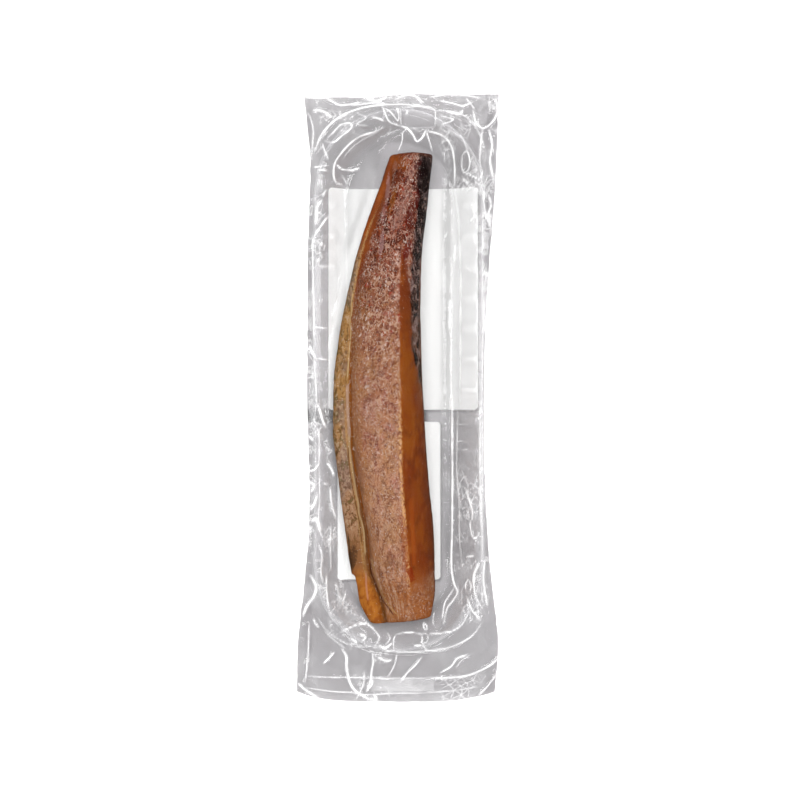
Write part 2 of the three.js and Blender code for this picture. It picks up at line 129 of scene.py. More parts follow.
def facets(x, y, cell, stretch, seed):
    """Crumpled film: flat facets between random heights, and how near each point is to a fold."""
    u = x / cell + 0.45 * cloud(x, y, 1.7 * cell, seed + 1)
    v = y / (cell * stretch) + 0.45 * cloud(x, y, 1.7 * cell, seed + 2)
    skew = (u + v) * 0.366
    u, v = u + skew, v + skew
    i, j = np.floor(u).astype(int), np.floor(v).astype(int)
    a, b = u - i, v - j
    table = np.random.default_rng(seed).uniform(-1, 1, (128, 128))
    at = lambda p, q: table[p % 128, q % 128]
    right = a > b
    middle = np.where(right, at(i + 1, j), at(i, j + 1))
    high, low = np.maximum(a, b), np.minimum(a, b)
    height = (1 - high) * at(i, j) + (high - low) * middle + low * at(i + 1, j + 1)
    return height, np.minimum(np.minimum(1 - high, high - low), low)


# ---- The tray's and the pouch's shape ----

RIM = TRAY["radii"][-1]
RADII = np.arange(0, 60, 0.1)
PROFILE = np.interp(RADII, TRAY["radii"], TRAY["heights"]) - MARGIN_DROOP * np.maximum(RADII - RIM, 0)
ROUNDING = np.hanning(21)[1:-1]
PROFILE = np.pad(PROFILE, len(ROUNDING) // 2, mode="edge")
PROFILE = np.convolve(PROFILE, ROUNDING / ROUNDING.sum(), "valid")


def spine_distance(x, y):
    return np.hypot(x - TRAY["x"], y - np.clip(y, TRAY["low"], TRAY["high"]))


def rib_height(x, y):
    """The moulded ribs across the tray's long walls."""
    nearest = np.clip(np.round((y - RIB["first"]) / RIB["pitch"]), 0, RIB["count"] - 1)
    off = np.abs(y - RIB["first"] - nearest * RIB["pitch"]) / RIB["half"]
    r = spine_distance(x, y)
    run = smooth(r, RIB["from"], RIB["from"] + 2) * (1 - smooth(r, RIB["to"] - 1.5, RIB["to"]))
    return RIB["height"] * (1 - smooth(off, 0.2, 1)) * run


def tray_top(x, y, ribs=True):
    r = spine_distance(x, y)
    past = np.maximum(r - RIM, 0)
    wave = MARGIN_WAVE * np.minimum(1, past / 6) * np.sin(x / 8 + 1) * np.cos(y / 11)
    return np.interp(r, RADII, PROFILE) + wave + (rib_height(x, y) if ribs else 0)


def pouch_grid(columns, rows):
    """Points all over the pouch seen from above, row by row; rows crowd towards its two ends."""
    across = np.linspace(0, 1, columns)[None, :]
    t = np.linspace(0, 1, rows)[:, None]
    along = t - 0.045 * np.sin(4 * np.pi * t)
    low = BOTTOM_BOW - HALF_LENGTH + BOTTOM_BOW * ((2 * across - 1) ** 4 - 1)
    turned = 1 - across
    high = lerp(HALF_LENGTH, HALF_LENGTH - TOP_SAG, turned)
    high = high + TOP_SAG * (turned - smooth(turned, 0.45, 0.65))
    y = lerp(low, high, along)
    ragged = 0.35 * cloud(y, y * 0, 9, 71) * np.ones_like(across)
    left = -through(POUCH_LEFT, y) + np.abs(ragged)
    right = through(POUCH_RIGHT, y) - np.abs(0.35 * cloud(y, y * 0, 7, 72))
    x = lerp(left, right, across)
    y = np.clip(y + 0.4 * cloud(x, y * 0, 8, 73) * smooth(np.abs(t - 0.5), 0.4, 0.5), low, high)
    return x, y


# ---- The fillet's shape ----

def fillet_at(y):
    return {name: through([STATION["y"], STATION[name]], y) for name in STATION if name != "y"}


LOW_CUT, HIGH_CUT = STATION["y"][0], STATION["y"][-1]


def cut_tilt(y):
    return CUT_TILT * (1 - smooth(y, LOW_CUT, LOW_CUT + CUT_REACH))


CURVE_STEPS = 24


def closed_curve(points, count):
    """Points on a smooth closed curve through the given ones, evenly parted along it."""
    p = np.asarray(points)
    fine = []
    for i in range(len(p)):
        a, b, c, d = (p[(i + k) % len(p)] for k in (-1, 0, 1, 2))
        ta, tb, tc = (max(np.linalg.norm(q), 1e-6) ** 0.5 for q in (b - a, c - b, d - c))
        m1 = tb * ((b - a) / ta - (c - a) / (ta + tb) + (c - b) / tb)
        m2 = tb * ((c - b) / tb - (d - b) / (tb + tc) + (d - c) / tc)
        t = np.linspace(0, 1, CURVE_STEPS, endpoint=False)[:, None]
        fine.append(b * (1 + 2 * t) * (1 - t) ** 2 + c * t * t * (3 - 2 * t)
                    + m1 * t * (1 - t) ** 2 - m2 * t * t * (1 - t))
    fine = np.vstack(fine)
    fine = np.vstack([fine, fine[:1]])
    run = np.r_[0, np.cumsum(np.linalg.norm(np.diff(fine, axis=0), axis=1))]
    at = np.linspace(0, run[-1], count, endpoint=False)
    return np.column_stack([np.interp(at, run, fine[:, k]) for k in (0, 1)])


def fillet_section(y, count):
    f = {name: float(v) for name, v in fillet_at(y).items()}
    left, right, ridge, crest, groove = (f[k] for k in ("left", "right", "ridge", "crest", "groove"))
    edge_left = float(tray_top(left, y, False)) + EDGES["left"]
    edge_right = float(tray_top(right, y, False)) + EDGES["right"]
    width, bottom = right - left, TRAY["heights"][0]
    depth = EDGES["groove"] * (1 - smooth(y, 34, 70))
    shoulder = edge_left + EDGES["shoulder"]
    face = lambda a, up: (lerp(groove, ridge, a), lerp(shoulder, crest, up))
    flank = lambda a, down: (lerp(ridge, right, a), lerp(crest, edge_right, down))
    outline = [
        (left + 0.15 * width, bottom), (left + 0.04 * width, lerp(bottom, edge_left, 0.4)),
        (left, edge_left), (lerp(left, groove, 0.35), shoulder - 0.6),
        (lerp(left, groove, 0.75), shoulder), (groove, shoulder + 0.5 - depth),
        face(0.2, 0.34), face(0.5, 0.68), face(0.8, 0.9), face(0.96, 0.99),
        (ridge + 0.6, crest - 0.3), flank(0.4, 0.22), flank(0.75, 0.55), (right, edge_right),
        (right - 0.03 * width, lerp(bottom, edge_right, 0.35)), (right - 0.13 * width, bottom),
        (lerp(left, right, 0.5), bottom),
    ]
    return closed_curve(outline, count)


FILLET_STATIONS, FILLET_POINTS = 430, 190


def fillet_rings():
    """The fillet's sections as an array of rings of points."""
    along = np.linspace(0, 1, FILLET_STATIONS)
    crowding = 0.62 + 0.38 * np.abs(2 * along - 1) ** 1.5
    ys = lerp(LOW_CUT, HIGH_CUT, 0.5 - 0.5 * np.cos(np.pi * along) * crowding)
    rings = np.zeros((FILLET_STATIONS, FILLET_POINTS, 3))
    for i, y in enumerate(ys):
        section = fillet_section(y, FILLET_POINTS)
        end = min(1, min(y - LOW_CUT, HIGH_CUT - y) / END_ROUND)
        shrink = 1 - END_SHRINK * (1 - np.sqrt(max(0, 1 - (1 - end) ** 2)))
        section = lerp(section.mean(0), section, shrink)
        rings[i, :, 0], rings[i, :, 2] = section.T
        rings[i, :, 1] = y + cut_tilt(y) * section[:, 0]
    rings[..., 2] = np.maximum(rings[..., 2], tray_top(rings[..., 0], rings[..., 1], False) + 0.4)
    return rings, ys


def fillet_relief(rings):
    """How far the flesh swells or sinks at each point, along its normal."""
    x, y = rings[..., 0], rings[..., 1]
    f = fillet_at(y)
    top = smooth(rings[..., 2], 8, 12)
    from_ridge, from_groove = x - f["ridge"], x - f["groove"]
    face = smooth(from_groove, 0, 2) * (1 - smooth(from_ridge, -1.5, 0)) * top
    belly = (1 - smooth(from_groove, -2, 0)) * top
    upper = smooth(y, 25, 80) * top
    crinkle = 0.16 * cloud(x, y * 0.8, 1.5, 11) + 0.12 * cloud(x, y, 3.4, 12)
    wrinkle, _ = facets(x, y, 2.1, 2.2, 21)
    lumps = 0.5 * cloud(x, y * 0.5, 9, 13)
    fringe = 0.55 * np.exp(-((from_groove + 0.2) / 0.7) ** 2) * smooth(y, -25, 0) * (1 - smooth(y, 80, 92))
    fold = 0.7 * np.exp(-((from_groove - 1.0) / 0.8) ** 2) * (1 - smooth(y, -30, -5))
    swell = crinkle * (0.35 + face + 0.8 * belly) + 0.42 * wrinkle * upper * (1 - smooth(from_ridge, 3, 6))
    return swell + lumps * 0.5 + fringe * top - fold * top


def normals_of(rings):
    """Unit normals of a closed band of rings, pointing outwards."""
    du = np.gradient(rings, axis=0)
    dv = (np.roll(rings, -1, axis=1) - np.roll(rings, 1, axis=1)) / 2
    n = np.cross(dv, du)
    n = n / np.maximum(np.linalg.norm(n, axis=-1, keepdims=True), 1e-9)
    middle = len(rings) // 2
    return n * np.sign(n[middle, np.argmax(rings[middle, :, 2]), 2])


def fillet_tops(rings, x, y):
    """The fillet's height over each grid point, and -inf beside it."""
    xs = np.linspace(-34, 20, 220)
    tops = np.full((len(rings), len(xs)), -np.inf)
    ys = np.zeros_like(tops)
    for i, ring in enumerate(rings):
        order = np.argsort(ring[:, 0])
        sx, sz = ring[order, 0], ring[order, 2]
        bins = np.searchsorted(xs, sx)
        lid = np.full(len(xs) + 1, -np.inf)
        np.maximum.at(lid, bins, sz)
        lid = lid[: len(xs)]
        known = np.isfinite(lid)
        inside = (xs >= sx[0]) & (xs <= sx[-1])
        tops[i, inside] = np.interp(xs[inside], xs[known], lid[known])
        ys[i] = np.interp(xs, sx, ring[order, 1])
    column = np.clip((x - xs[0]) / (xs[1] - xs[0]), 0, len(xs) - 1.001)
    c = column.astype(int)
    height = np.full(x.shape, -np.inf)
    for k in range(len(xs)):
        here = c == k
        if here.any():
            good = np.isfinite(tops[:, k])
            if good.sum() > 2:
                inside = here & (y > ys[good, k].min()) & (y < ys[good, k].max())
                height[inside] = np.interp(y[inside], ys[good, k], tops[good, k])
    return height


# ---- Folds in the film ----
# Half width in hundredths of a mm, painted highlight in hundredths, rise in hundredths of a mm, and
# then x and y of pixels in the photograph.

TRAY_LINES = [
    [55, 75, 50, 314.8, 152, 316.4, 148, 319, 140, 325.8, 129, 339, 117, 355, 110, 370, 106.4, 386, 105,
     409, 105, 429, 108.4, 437, 111],
    [50, 50, 40, 437, 111, 455, 112, 470, 120, 480, 135, 485, 150],
    [45, 55, 30, 322.5, 138.6, 327, 129, 335, 121, 348.6, 114],
    [50, 70, 40, 322.5, 144, 325, 152, 328.5, 160],
    [50, 85, 40, 324.5, 140.6, 332.5, 142.6, 341.9, 135.9, 351.9, 126.5, 351.2, 123.8, 348.6, 123.2,
     340.5, 125.2, 333.8, 131.9, 327, 138.6],
    [60, 85, 50, 383.4, 127.9, 375.4, 131.9, 359.3, 137.2, 348.6, 145.3, 340.5, 154.6, 335.2, 162.7,
     333.8, 176, 336.5, 182.8, 341.9, 184.8],
    [35, 50, 20, 380, 131.5, 362, 140.5, 352, 148, 343, 158],
    [55, 95, 50, 336.5, 164.7, 341.9, 169.4, 351.2, 170.7, 359.3, 168],
    [35, 50, 20, 341.9, 176, 347.2, 184],
    [60, 90, 50, 427.6, 131.2, 442.3, 135.9, 448, 141, 451.7, 148, 454.4, 165.4, 454.4, 185.4],
    [35, 45, 20, 449, 130.5, 456, 134, 462.4, 138.6, 467.8, 152],
    [55, 60, 40, 480.6, 624.4, 473.7, 634, 464.1, 640.9, 447.7, 647.8, 429.9, 650.5, 406.5, 651.9,
     386, 650.5, 373.6, 647.8],
    [40, 40, 30, 373.6, 647.8, 355, 646, 340, 640, 326, 630, 318, 618],
    [50, 70, 40, 466.9, 597, 472.4, 610.7, 480.6, 620.3],
    [50, 70, 40, 466.9, 614.9, 464.1, 621.7, 454.5, 629.9, 442.2, 632.7, 429.9, 632.7],
    [50, 70, 40, 397, 632, 409.3, 630.6, 421.6, 632.7],
    [60, 85, 50, 452, 400, 452, 440, 452.3, 480, 452, 530, 451.8, 572, 454.5, 584.7, 457.3, 591.5,
     453.2, 599.8, 447.7, 606.6, 443.6, 623],
    [45, 50, 30, 457.5, 412, 457, 480, 459, 500, 459.5, 540, 462, 562],
    [40, 45, 30, 454.5, 188, 458, 220, 460, 260, 460, 330, 460, 405],
]
END_MARKS = [
    [50, 85, 40, 382, 106.4, 385, 113, 388.7, 121.2, 399.5, 126.5],
    [45, 85, 40, 382, 107, 391.4, 113, 398, 121, 398.8, 109],
    [90, 100, 40, 397, 108, 398.6, 114],
    [40, 50, 40, 400.8, 108, 400.8, 126],
    [40, 55, 30, 401, 107.5, 434, 109, 435, 112, 435, 126],
    [35, 40, 20, 401, 127, 418, 128.5, 435, 127.5],
    [35, 45, 20, 421.6, 633, 427, 633.5, 426.6, 642.3, 421.8, 641.5],
    [55, 95, 30, 407.5, 110.4, 406.8, 114.5],
    [65, 100, 50, 400.8, 126.5, 407.5, 129.2, 412.9, 135.9, 416.9, 143.3, 422.2, 138.6, 425.6, 130.5],
    [40, 70, 50, 406.8, 129.9, 402.8, 133.2, 402, 142.6, 398, 153.3],
    [40, 75, 50, 426.2, 131.2, 428.9, 141.2, 432.3, 154],
    [40, 40, 20, 414, 129, 420, 131.5, 424, 129],
    [40, 60, 40, 421.6, 632.7, 422, 638, 423, 645, 428, 651],
    [40, 50, 40, 395.6, 632.7, 393.5, 640, 394.2, 650.5],
    [40, 50, 30, 387.4, 631.3, 390, 638, 385, 645],
    [45, 60, 40, 340.7, 631.3, 350.3, 627.2, 365.4, 623.1, 375, 629.9, 379.1, 636.8, 373.6, 647.8],
    [40, 50, 30, 360, 615, 366.8, 621.7, 374, 627],
    [90, 90, 40, 351, 638, 357, 643],
    [70, 80, 40, 360, 634, 366, 637, 362, 641],
    [70, 80, 40, 378, 645, 385, 648, 392, 643],
    [50, 90, 30, 414, 646, 421, 645.5],
    [45, 80, 40, 423, 620, 427, 625, 426, 629, 423.5, 625, 423, 620],
]
TOP_FOLDS = [
    [60, 80, 50, 327, 98.4, 333, 102, 340.5, 105, 350, 104.5, 360.6, 102.4],
    [90, 85, 60, 313.7, 110.4, 322, 111, 331.2, 117],
    [50, 60, 40, 440.3, 115.8, 453, 119.8, 441, 125.2],
    [60, 85, 40, 444.3, 110.4, 452, 113, 461, 113.8, 462.4, 109.8],
    [60, 85, 60, 473, 110.4, 474, 115, 475, 121, 482.5, 128.5, 491.9, 122.5, 497.2, 111.8, 495.9, 98.4],
    [40, 60, 40, 466.4, 98.4, 474.5, 109],
    [50, 70, 50, 482.5, 129, 481, 141, 479.8, 160, 481, 172],
    [45, 75, 40, 462, 156, 466, 151, 469, 156, 468, 170, 464, 173, 461.5, 165, 462, 156],
    [50, 80, 40, 464, 173, 469.1, 174.7, 479.8, 178.7, 482.5, 170.7],
    [50, 75, 40, 463, 178, 467, 184, 472, 188],
    [80, 70, 40, 372, 117, 378, 118.5, 384, 121],
    [40, 50, 40, 357, 113, 366, 118, 357, 124, 369, 126],
    [90, 80, 50, 366, 98, 375, 101, 386, 98],
    [70, 80, 50, 398, 98, 406, 95, 418, 98, 422, 104],
    [50, 60, 40, 344, 104, 356, 105, 372, 103, 390, 104],
    [50, 60, 40, 430, 97, 445, 95, 462, 95, 480, 98],
    [60, 70, 50, 440, 101, 452, 103, 463, 106, 472, 102],
    [50, 50, 30, 308.4, 113, 311, 120, 313, 129, 312.5, 145, 311.7, 157],
    [40, 55, 30, 305, 98, 320, 98.5, 328, 98],
    [50, 90, 40, 414, 104.5, 420, 105.5],
    [40, 45, 30, 489, 100, 490, 112],
]
BOTTOM_FOLDS = [
    [75, 90, 60, 342, 649, 346.2, 656, 346.5, 666, 347.6, 673.8, 351.7, 686, 356, 691, 361.3, 694.4,
     372.3, 701.2],
    [60, 80, 60, 372.3, 650.5, 373, 662.8, 371.5, 671, 370.9, 677.9, 366.8, 691.6],
    [40, 50, 30, 355.8, 699.9, 361, 690, 364, 682, 364, 672],
    [40, 45, 30, 397, 653.2, 394.2, 665.6, 388, 676.5],
    [50, 80, 40, 421.6, 657.4, 413.4, 667, 408, 672, 400, 682],
    [60, 90, 40, 333.9, 652.6, 328, 659, 323.6, 663.5],
    [60, 70, 50, 440.8, 672.4, 451.8, 665.6, 456.6, 658.7, 466.9, 654.6],
    [35, 40, 30, 456, 668, 462, 660, 470, 655],
    [70, 70, 50, 498.4, 657.4, 491.6, 664.2, 482, 669.7, 468.3, 675.2, 454.5, 677.2, 427.1, 677.9],
    [50, 70, 40, 495.7, 675.2, 487.5, 686.1, 479.2, 694.4],
    [70, 80, 40, 378, 657, 386, 661, 391, 660],
    [80, 80, 50, 298.2, 683.4, 306, 690, 317.4, 697],
    [40, 60, 30, 309.2, 623, 308.5, 640, 307.8, 656, 306.5, 670, 305, 683.4],
    [110, 95, 50, 370, 698, 376, 700, 374, 694],
    [60, 70, 40, 367, 690, 372, 684, 372, 678],
    [40, 50, 20, 307.8, 676.6, 340, 677.2, 372.3, 677.9, 402, 678, 432.6, 677.9],
    [40, 55, 20, 306.5, 687.5, 335.2, 691.6, 351.7, 692.3, 366.8, 694.4, 394.2, 693, 421.6, 693],
    [40, 40, 20, 421.6, 693, 450, 691, 478, 687],
]
SIDE_FOLDS = [
    [50, 80, 40, 314, 167.5, 327.5, 166],
    [45, 75, 40, 316, 171, 327.5, 170.5],
    [40, 40, 30, 319, 199, 315, 209.5, 315, 227],
    [80, 80, 50, 316.5, 222, 318, 206, 322, 200],
    [70, 85, 50, 314.5, 236, 321, 226, 327.5, 217],
    [80, 85, 50, 326, 190, 323, 196],
    [60, 70, 40, 316, 241, 322, 243, 321, 247],
    [60, 75, 40, 317, 262, 319, 258],
    [55, 85, 40, 312.5, 235, 313, 270, 313.5, 300, 314, 345],
    [40, 60, 30, 313.5, 345, 315, 375, 317, 402],
    [90, 80, 50, 309.5, 345, 312, 352, 316, 358],
    [50, 75, 30, 323.7, 484, 327.6, 484.4],
    [90, 90, 60, 319, 407, 322, 418, 325.5, 427],
    [90, 85, 50, 309, 436, 313, 440],
    [60, 80, 50, 309.5, 471, 314, 470, 319.5, 463],
    [90, 90, 60, 309, 481, 314, 485, 311, 492],
    [90, 90, 50, 310.5, 510, 314.5, 503, 317, 496],
    [120, 95, 60, 311.5, 521, 316, 519, 320, 530],
    [60, 70, 40, 319, 432, 319.5, 447, 319, 462],
    [40, 60, 30, 319.5, 470, 319.5, 500, 319.5, 530, 324, 538, 335, 537],
    [80, 80, 50, 327, 463, 331, 468, 334, 475],
    [60, 70, 40, 330, 487, 332, 505, 336, 518],
    [50, 60, 40, 331, 524, 330.5, 545, 331, 570],
    [60, 70, 50, 319, 545, 322, 555, 321, 572, 323, 582],
    [90, 85, 60, 303, 616, 306.5, 606.6, 314.7, 594.3, 316, 586, 310.6, 575],
    [50, 70, 40, 326.3, 575, 327, 595.6, 328.4, 605.2],
    [60, 70, 40, 313.3, 619, 315.5, 624, 318.8, 627.2],
    [40, 50, 30, 324.3, 631.3, 335.2, 640.9, 344.8, 647.8],
    [40, 50, 30, 336, 583, 340, 596, 343, 600, 346, 590],
    [40, 35, 30, 337, 592, 345, 608, 358, 616],
    [40, 60, 30, 434, 609.4, 432.6, 620.3, 434, 624.4],
    [50, 75, 40, 453.9, 588, 449, 595, 445, 601, 442.2, 617.6],
    [50, 70, 40, 476.5, 564, 473.7, 575, 473.7, 587.4, 476, 597, 482, 608],
    [45, 70, 40, 466, 590, 465.5, 584, 468, 580, 471, 586, 469, 591, 466, 590],
    [60, 80, 50, 484.7, 560, 483.3, 580.6, 487.5, 605.2],
    [60, 90, 40, 465, 487, 469, 500, 472, 510, 472, 520],
    [60, 80, 40, 470, 521, 471, 532, 474, 538, 478, 536],
    [90, 90, 50, 479, 564, 474, 574, 473.5, 584],
    [60, 80, 40, 466, 518, 468, 511, 469, 519],
    [50, 70, 30, 466, 556, 474, 556],
    [55, 50, 40, 480, 400, 479.5, 440, 480, 490, 481, 530],
    [40, 35, 20, 484, 290, 483.5, 320, 483, 350, 482.5, 395],
    [50, 60, 20, 484.3, 308, 484.8, 332],
    [70, 80, 50, 488, 194, 491, 205, 488, 215, 490, 228],
    [70, 80, 50, 489, 130, 492, 145, 490, 160, 493, 178],
    [60, 70, 40, 484, 190, 484, 205, 487, 222],
    [60, 70, 40, 455, 245, 454, 262],
    [50, 50, 30, 450, 300, 450, 330],
    [50, 60, 30, 471, 205, 474, 215, 470, 222],
    [40, 40, 30, 466, 266, 472, 272, 478, 270],
    [90, 25, 20, 482, 402, 482.5, 440, 482, 500, 482.5, 558],
    [35, 60, 30, 319, 246, 322, 243.5, 325, 246, 323.5, 250, 320, 250, 319, 246],
    [35, 50, 30, 318.5, 256, 321, 254, 323, 257, 321, 260, 318.5, 256],
    [35, 50, 30, 319, 300, 321, 298.5, 322.5, 301, 320.5, 303, 319, 300],
]
# The moulded rungs that show through the film on the left wall, and faint ones on the right, as a
# rise and a painted highlight along each.
SIDE_FOLDS += [[35, 60, 25, 314.5, y - 1, 327.5, y + 1] for y in (266, 297, 328, 359)]
SIDE_FOLDS += [[35, 30, 20, 455, y, 468, y + 0.5] for y in (424, 441, 449, 555)]
# Boxes in pixels: where the film is flat and clean, and a frosted strip on the seal.
CLEAN_BOXES = [(401, 108, 434.5, 127), (314.5, 262, 327.5, 398), (316, 440, 324, 560), (478, 262, 483, 400)]
FROSTED_BOX, FROST = (371, 679, 434, 692), 0.15
# Where the film is crumpled: pixels of a box, then facet size in mm, stretch along, height in mm.
CRUMPLES = [
    ((484, 100, 499, 310), 2.4, 2.6, 0.75), ((440, 93, 499, 112), 3.2, 0.8, 0.7),
    ((340, 93, 440, 103), 3.0, 0.7, 0.7), ((304, 97, 340, 122), 4.0, 1.0, 0.6),
    ((308, 185, 327, 262), 4.2, 1.5, 0.8), ((307, 350, 322, 560), 4.6, 1.7, 0.75),
    ((323, 400, 336, 560), 3.4, 1.8, 0.45), ((440, 112, 482, 190), 4.2, 1.2, 0.45),
    ((318, 110, 390, 135), 4.6, 0.8, 0.4), ((330, 600, 400, 655), 4.0, 0.9, 0.5),
    ((300, 560, 330, 640), 5.0, 1.6, 0.5), ((458, 560, 492, 640), 4.6, 1.5, 0.5),
    ((298, 676, 498, 702), 6.0, 0.7, 0.35), ((455, 412, 484, 560), 4.5, 1.4, 0.3),
    ((372, 650, 400, 670), 3.6, 1.0, 0.4),
]


def place(pixels, height=RIM_LEVEL):
    """Where pixels of the photograph lie at a height over the floor, in mm."""
    p = np.asarray(pixels, float)
    scale = PIXEL * (CAMERA_HEIGHT - height) / (CAMERA_HEIGHT - RIM_LEVEL)
    return (p[..., 0] - MID_PIXEL[0]) * scale, (MID_PIXEL[1] - p[..., 1]) * scale


def split_row(row):
    """A row of a table of lines: its three values, and the pixels after them in pairs."""
    return *row[:3], np.reshape(row[3:], (-1, 2))


def smooth_path(points, spacing=0.8):
    """A polyline that runs smoothly through a few points."""
    p = np.asarray(points, float)
    if len(p) > 2:
        run = np.r_[0, np.cumsum(np.linalg.norm(np.diff(p, axis=0), axis=1))]
        at = np.linspace(0, run[-1], max(3, int(run[-1] / spacing)))
        p = np.column_stack([through([run, p[:, k]], at) for k in (0, 1)])
    return p


def near_path(x, y, path, reach):
    """Squared distance to a path, and how far along it the nearest point is, for points within reach."""
    low, high = path.min(0) - reach, path.max(0) + reach
    here = np.nonzero((x > low[0]) & (x < high[0]) & (y > low[1]) & (y < high[1]))
    px, py = x[here], y[here]
    best, where = np.full(px.shape, 1e9), np.zeros(px.shape)
    run = np.r_[0, np.cumsum(np.linalg.norm(np.diff(path, axis=0), axis=1))]
    for k in range(len(path) - 1):
        a, d = path[k], path[k + 1] - path[k]
        t = np.clip(((px - a[0]) * d[0] + (py - a[1]) * d[1]) / max(d @ d, 1e-9), 0, 1)
        off = (px - a[0] - t * d[0]) ** 2 + (py - a[1] - t * d[1]) ** 2
        closer = off < best
        best = np.where(closer, off, best)
        where = np.where(closer, (run[k] + t * (run[k + 1] - run[k])) / run[-1], where)
    return here, best, where


def inside_box(x, y, box, soft):
    """1 inside a box of pixels and 0 outside, for places on the pouch."""
    (x0, x1), (y1, y0) = place([(box[0], box[1]), (box[2], box[3])])
    return (smooth(x, x0 - soft, x0 + soft) * (1 - smooth(x, x1 - soft, x1 + soft))
            * smooth(y, y0 - soft, y0 + soft) * (1 - smooth(y, y1 - soft, y1 + soft)))


def film_surface(rings):
    """The upper film: its points, its painted highlights and frosted print, and where it lies on the fillet.
    """
    x, y = pouch_grid(*FILM_GRID)
    rest = np.maximum(tray_top(x, y) + FILM_OVER_TRAY, fillet_tops(rings, x, y) + FILM_OVER_FLESH)
    z = rest.copy()
    for _ in range(PULLS):
        mean = z.copy()
        mean[1:-1, 1:-1] = (z[2:, 1:-1] + z[:-2, 1:-1] + z[1:-1, 2:] + z[1:-1, :-2]) / 4
        z = np.maximum(rest, mean - PULL_STEP)
    on_flesh = smooth(z - tray_top(x, y), 0.7, 2.2)
    quiet = 1 - on_flesh
    painted_highlight_and_frost = np.zeros_like(z)
    rise = np.zeros_like(z)
    for k, (box, cell, stretch, height) in enumerate(CRUMPLES):
        inside = inside_box(x, y, box, 1.8)
        lift, edge = facets(x, y, cell, stretch, 40 + k)
        rise += 0.45 * height * lift * inside * quiet
        # Fold lines of the crumples are painted white here and there: painted highlights.
        chance = smooth(cloud(x, y, 2.5 * cell, 60 + k), -0.1, 0.7)
        painted_highlight_and_frost = np.maximum(painted_highlight_and_frost, 0.38 * inside * quiet * chance * (1 - smooth(edge * cell, 0.05, 0.4)))
    past = smooth(spine_distance(x, y), 36, 40)
    rise += (0.15 + 0.35 * past) * cloud(x, y, 9, 90) * quiet
    for box in CLEAN_BOXES:
        busy = 1 - 0.9 * inside_box(x, y, box, 0.4)
        rise, painted_highlight_and_frost = rise * busy, painted_highlight_and_frost * busy
    calm = np.max([inside_box(x, y, box, 0.8) for box in CLEAN_BOXES], axis=0)
    frost = inside_box(x, y, FROSTED_BOX, 0.5) * FROST * (1 + 0.3 * cloud(x, y, 5, 92))
    painted_highlight_and_frost = np.maximum(painted_highlight_and_frost, frost)
    for group in (TRAY_LINES, END_MARKS, TOP_FOLDS, BOTTOM_FOLDS, SIDE_FOLDS):
        for *sizes, pixels in map(split_row, group):
            width, highlight_strength, height = (size / 100 for size in sizes)
            level = np.full(len(pixels), float(RIM_LEVEL))
            for _ in range(2):
                px, py = place(pixels, level)
                level = tray_top(px, py, False)
            path = smooth_path(np.column_stack([px, py]))
            here, off, where = near_path(x, y, path, 4)
            taper = np.minimum(1, np.minimum(where, 1 - where) * 5 + 0.35)
            dash = 0.8 + 0.3 * cloud(x[here], y[here], 3.0, 5)
            # Along each fold the film is painted white, a painted highlight, besides its real rise.
            line = np.exp(-off / (width * 0.62) ** 2) * highlight_strength * taper * dash
            painted_highlight_and_frost[here] = np.maximum(painted_highlight_and_frost[here], line)
            rise[here] += height * taper * np.exp(-off / (1.6 * width) ** 2)
    z = z + rise
    return x, y, z, {"painted_highlight_and_frost": np.clip(painted_highlight_and_frost, 0, 1), "on_flesh": on_flesh, "calm": calm}


# ---- Meshes ----

def piece(name, vertices, faces, material, values=None):
    """A mesh piece in metres from millimetres, with named values at its points."""
    mesh = bpy.data.meshes.new(name)
    mesh.from_pydata((np.asarray(vertices) * MM).tolist(), [], faces)
    mesh.update()
    mesh.polygons.foreach_set("use_smooth", [True] * len(mesh.polygons))
    for key, value in (values or {}).items():
        layer = mesh.attributes.new(key, "FLOAT", "POINT")
        layer.data.foreach_set("value", np.ascontiguousarray(value, dtype=np.float32).ravel())
    mesh.materials.append(material)
    made = bpy.data.objects.new(name, mesh)
    bpy.context.scene.collection.objects.link(made)
    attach(made, "root")
    return made


def sheet_faces(rows, columns, turned=False):
    i = np.arange((rows - 1) * columns).reshape(rows - 1, columns)[:, :-1].ravel()
    quads = np.column_stack([i, i + 1, i + columns + 1, i + columns])
    return (quads[:, ::-1] if turned else quads).tolist()


def tube_faces(rows, columns):
    i = np.arange(columns)
    j = (i + 1) % columns
    start = (np.arange(rows - 1) * columns)[:, None]
    quads = np.stack([start + i, start + columns + i, start + columns + j, start + j], axis=-1)
    return quads.reshape(-1, 4).tolist()


# ---- Materials ----

def operator(operation, turned=False):
    """What a wire does with another wire or a number on its right, or turned on its left."""
    def apply(wire, other):
        return wire.maths(operation, *((other, wire) if turned else (wire, other)))
    return apply


class Wire:
    """A socket of a material or of the world, with arithmetic that adds nodes."""

    def __init__(self, graph, socket):
        self.graph, self.socket = graph, socket

    def maths(self, operation, *values):
        return self.graph.node("Math", {"operation": operation}, dict(enumerate(values)))

    def __abs__(self):
        return self.maths("ABSOLUTE", self)

    __add__ = __radd__ = operator("ADD")
    __mul__ = __rmul__ = operator("MULTIPLY")
    __sub__, __rsub__ = operator("SUBTRACT"), operator("SUBTRACT", turned=True)
    __truediv__, __pow__ = operator("DIVIDE"), operator("POWER")
    at_most, at_least = operator("MINIMUM"), operator("MAXIMUM")

    def rise(self, low, high, first=0, last=1):
        """First where this is at low or short of it, and smoothly up to last where it is at high."""
        return self.graph.node("MapRange", {"interpolation_type": "SMOOTHSTEP"}, {
            "Value": self, "From Min": low, "From Max": high, "To Min": first, "To Max": last})


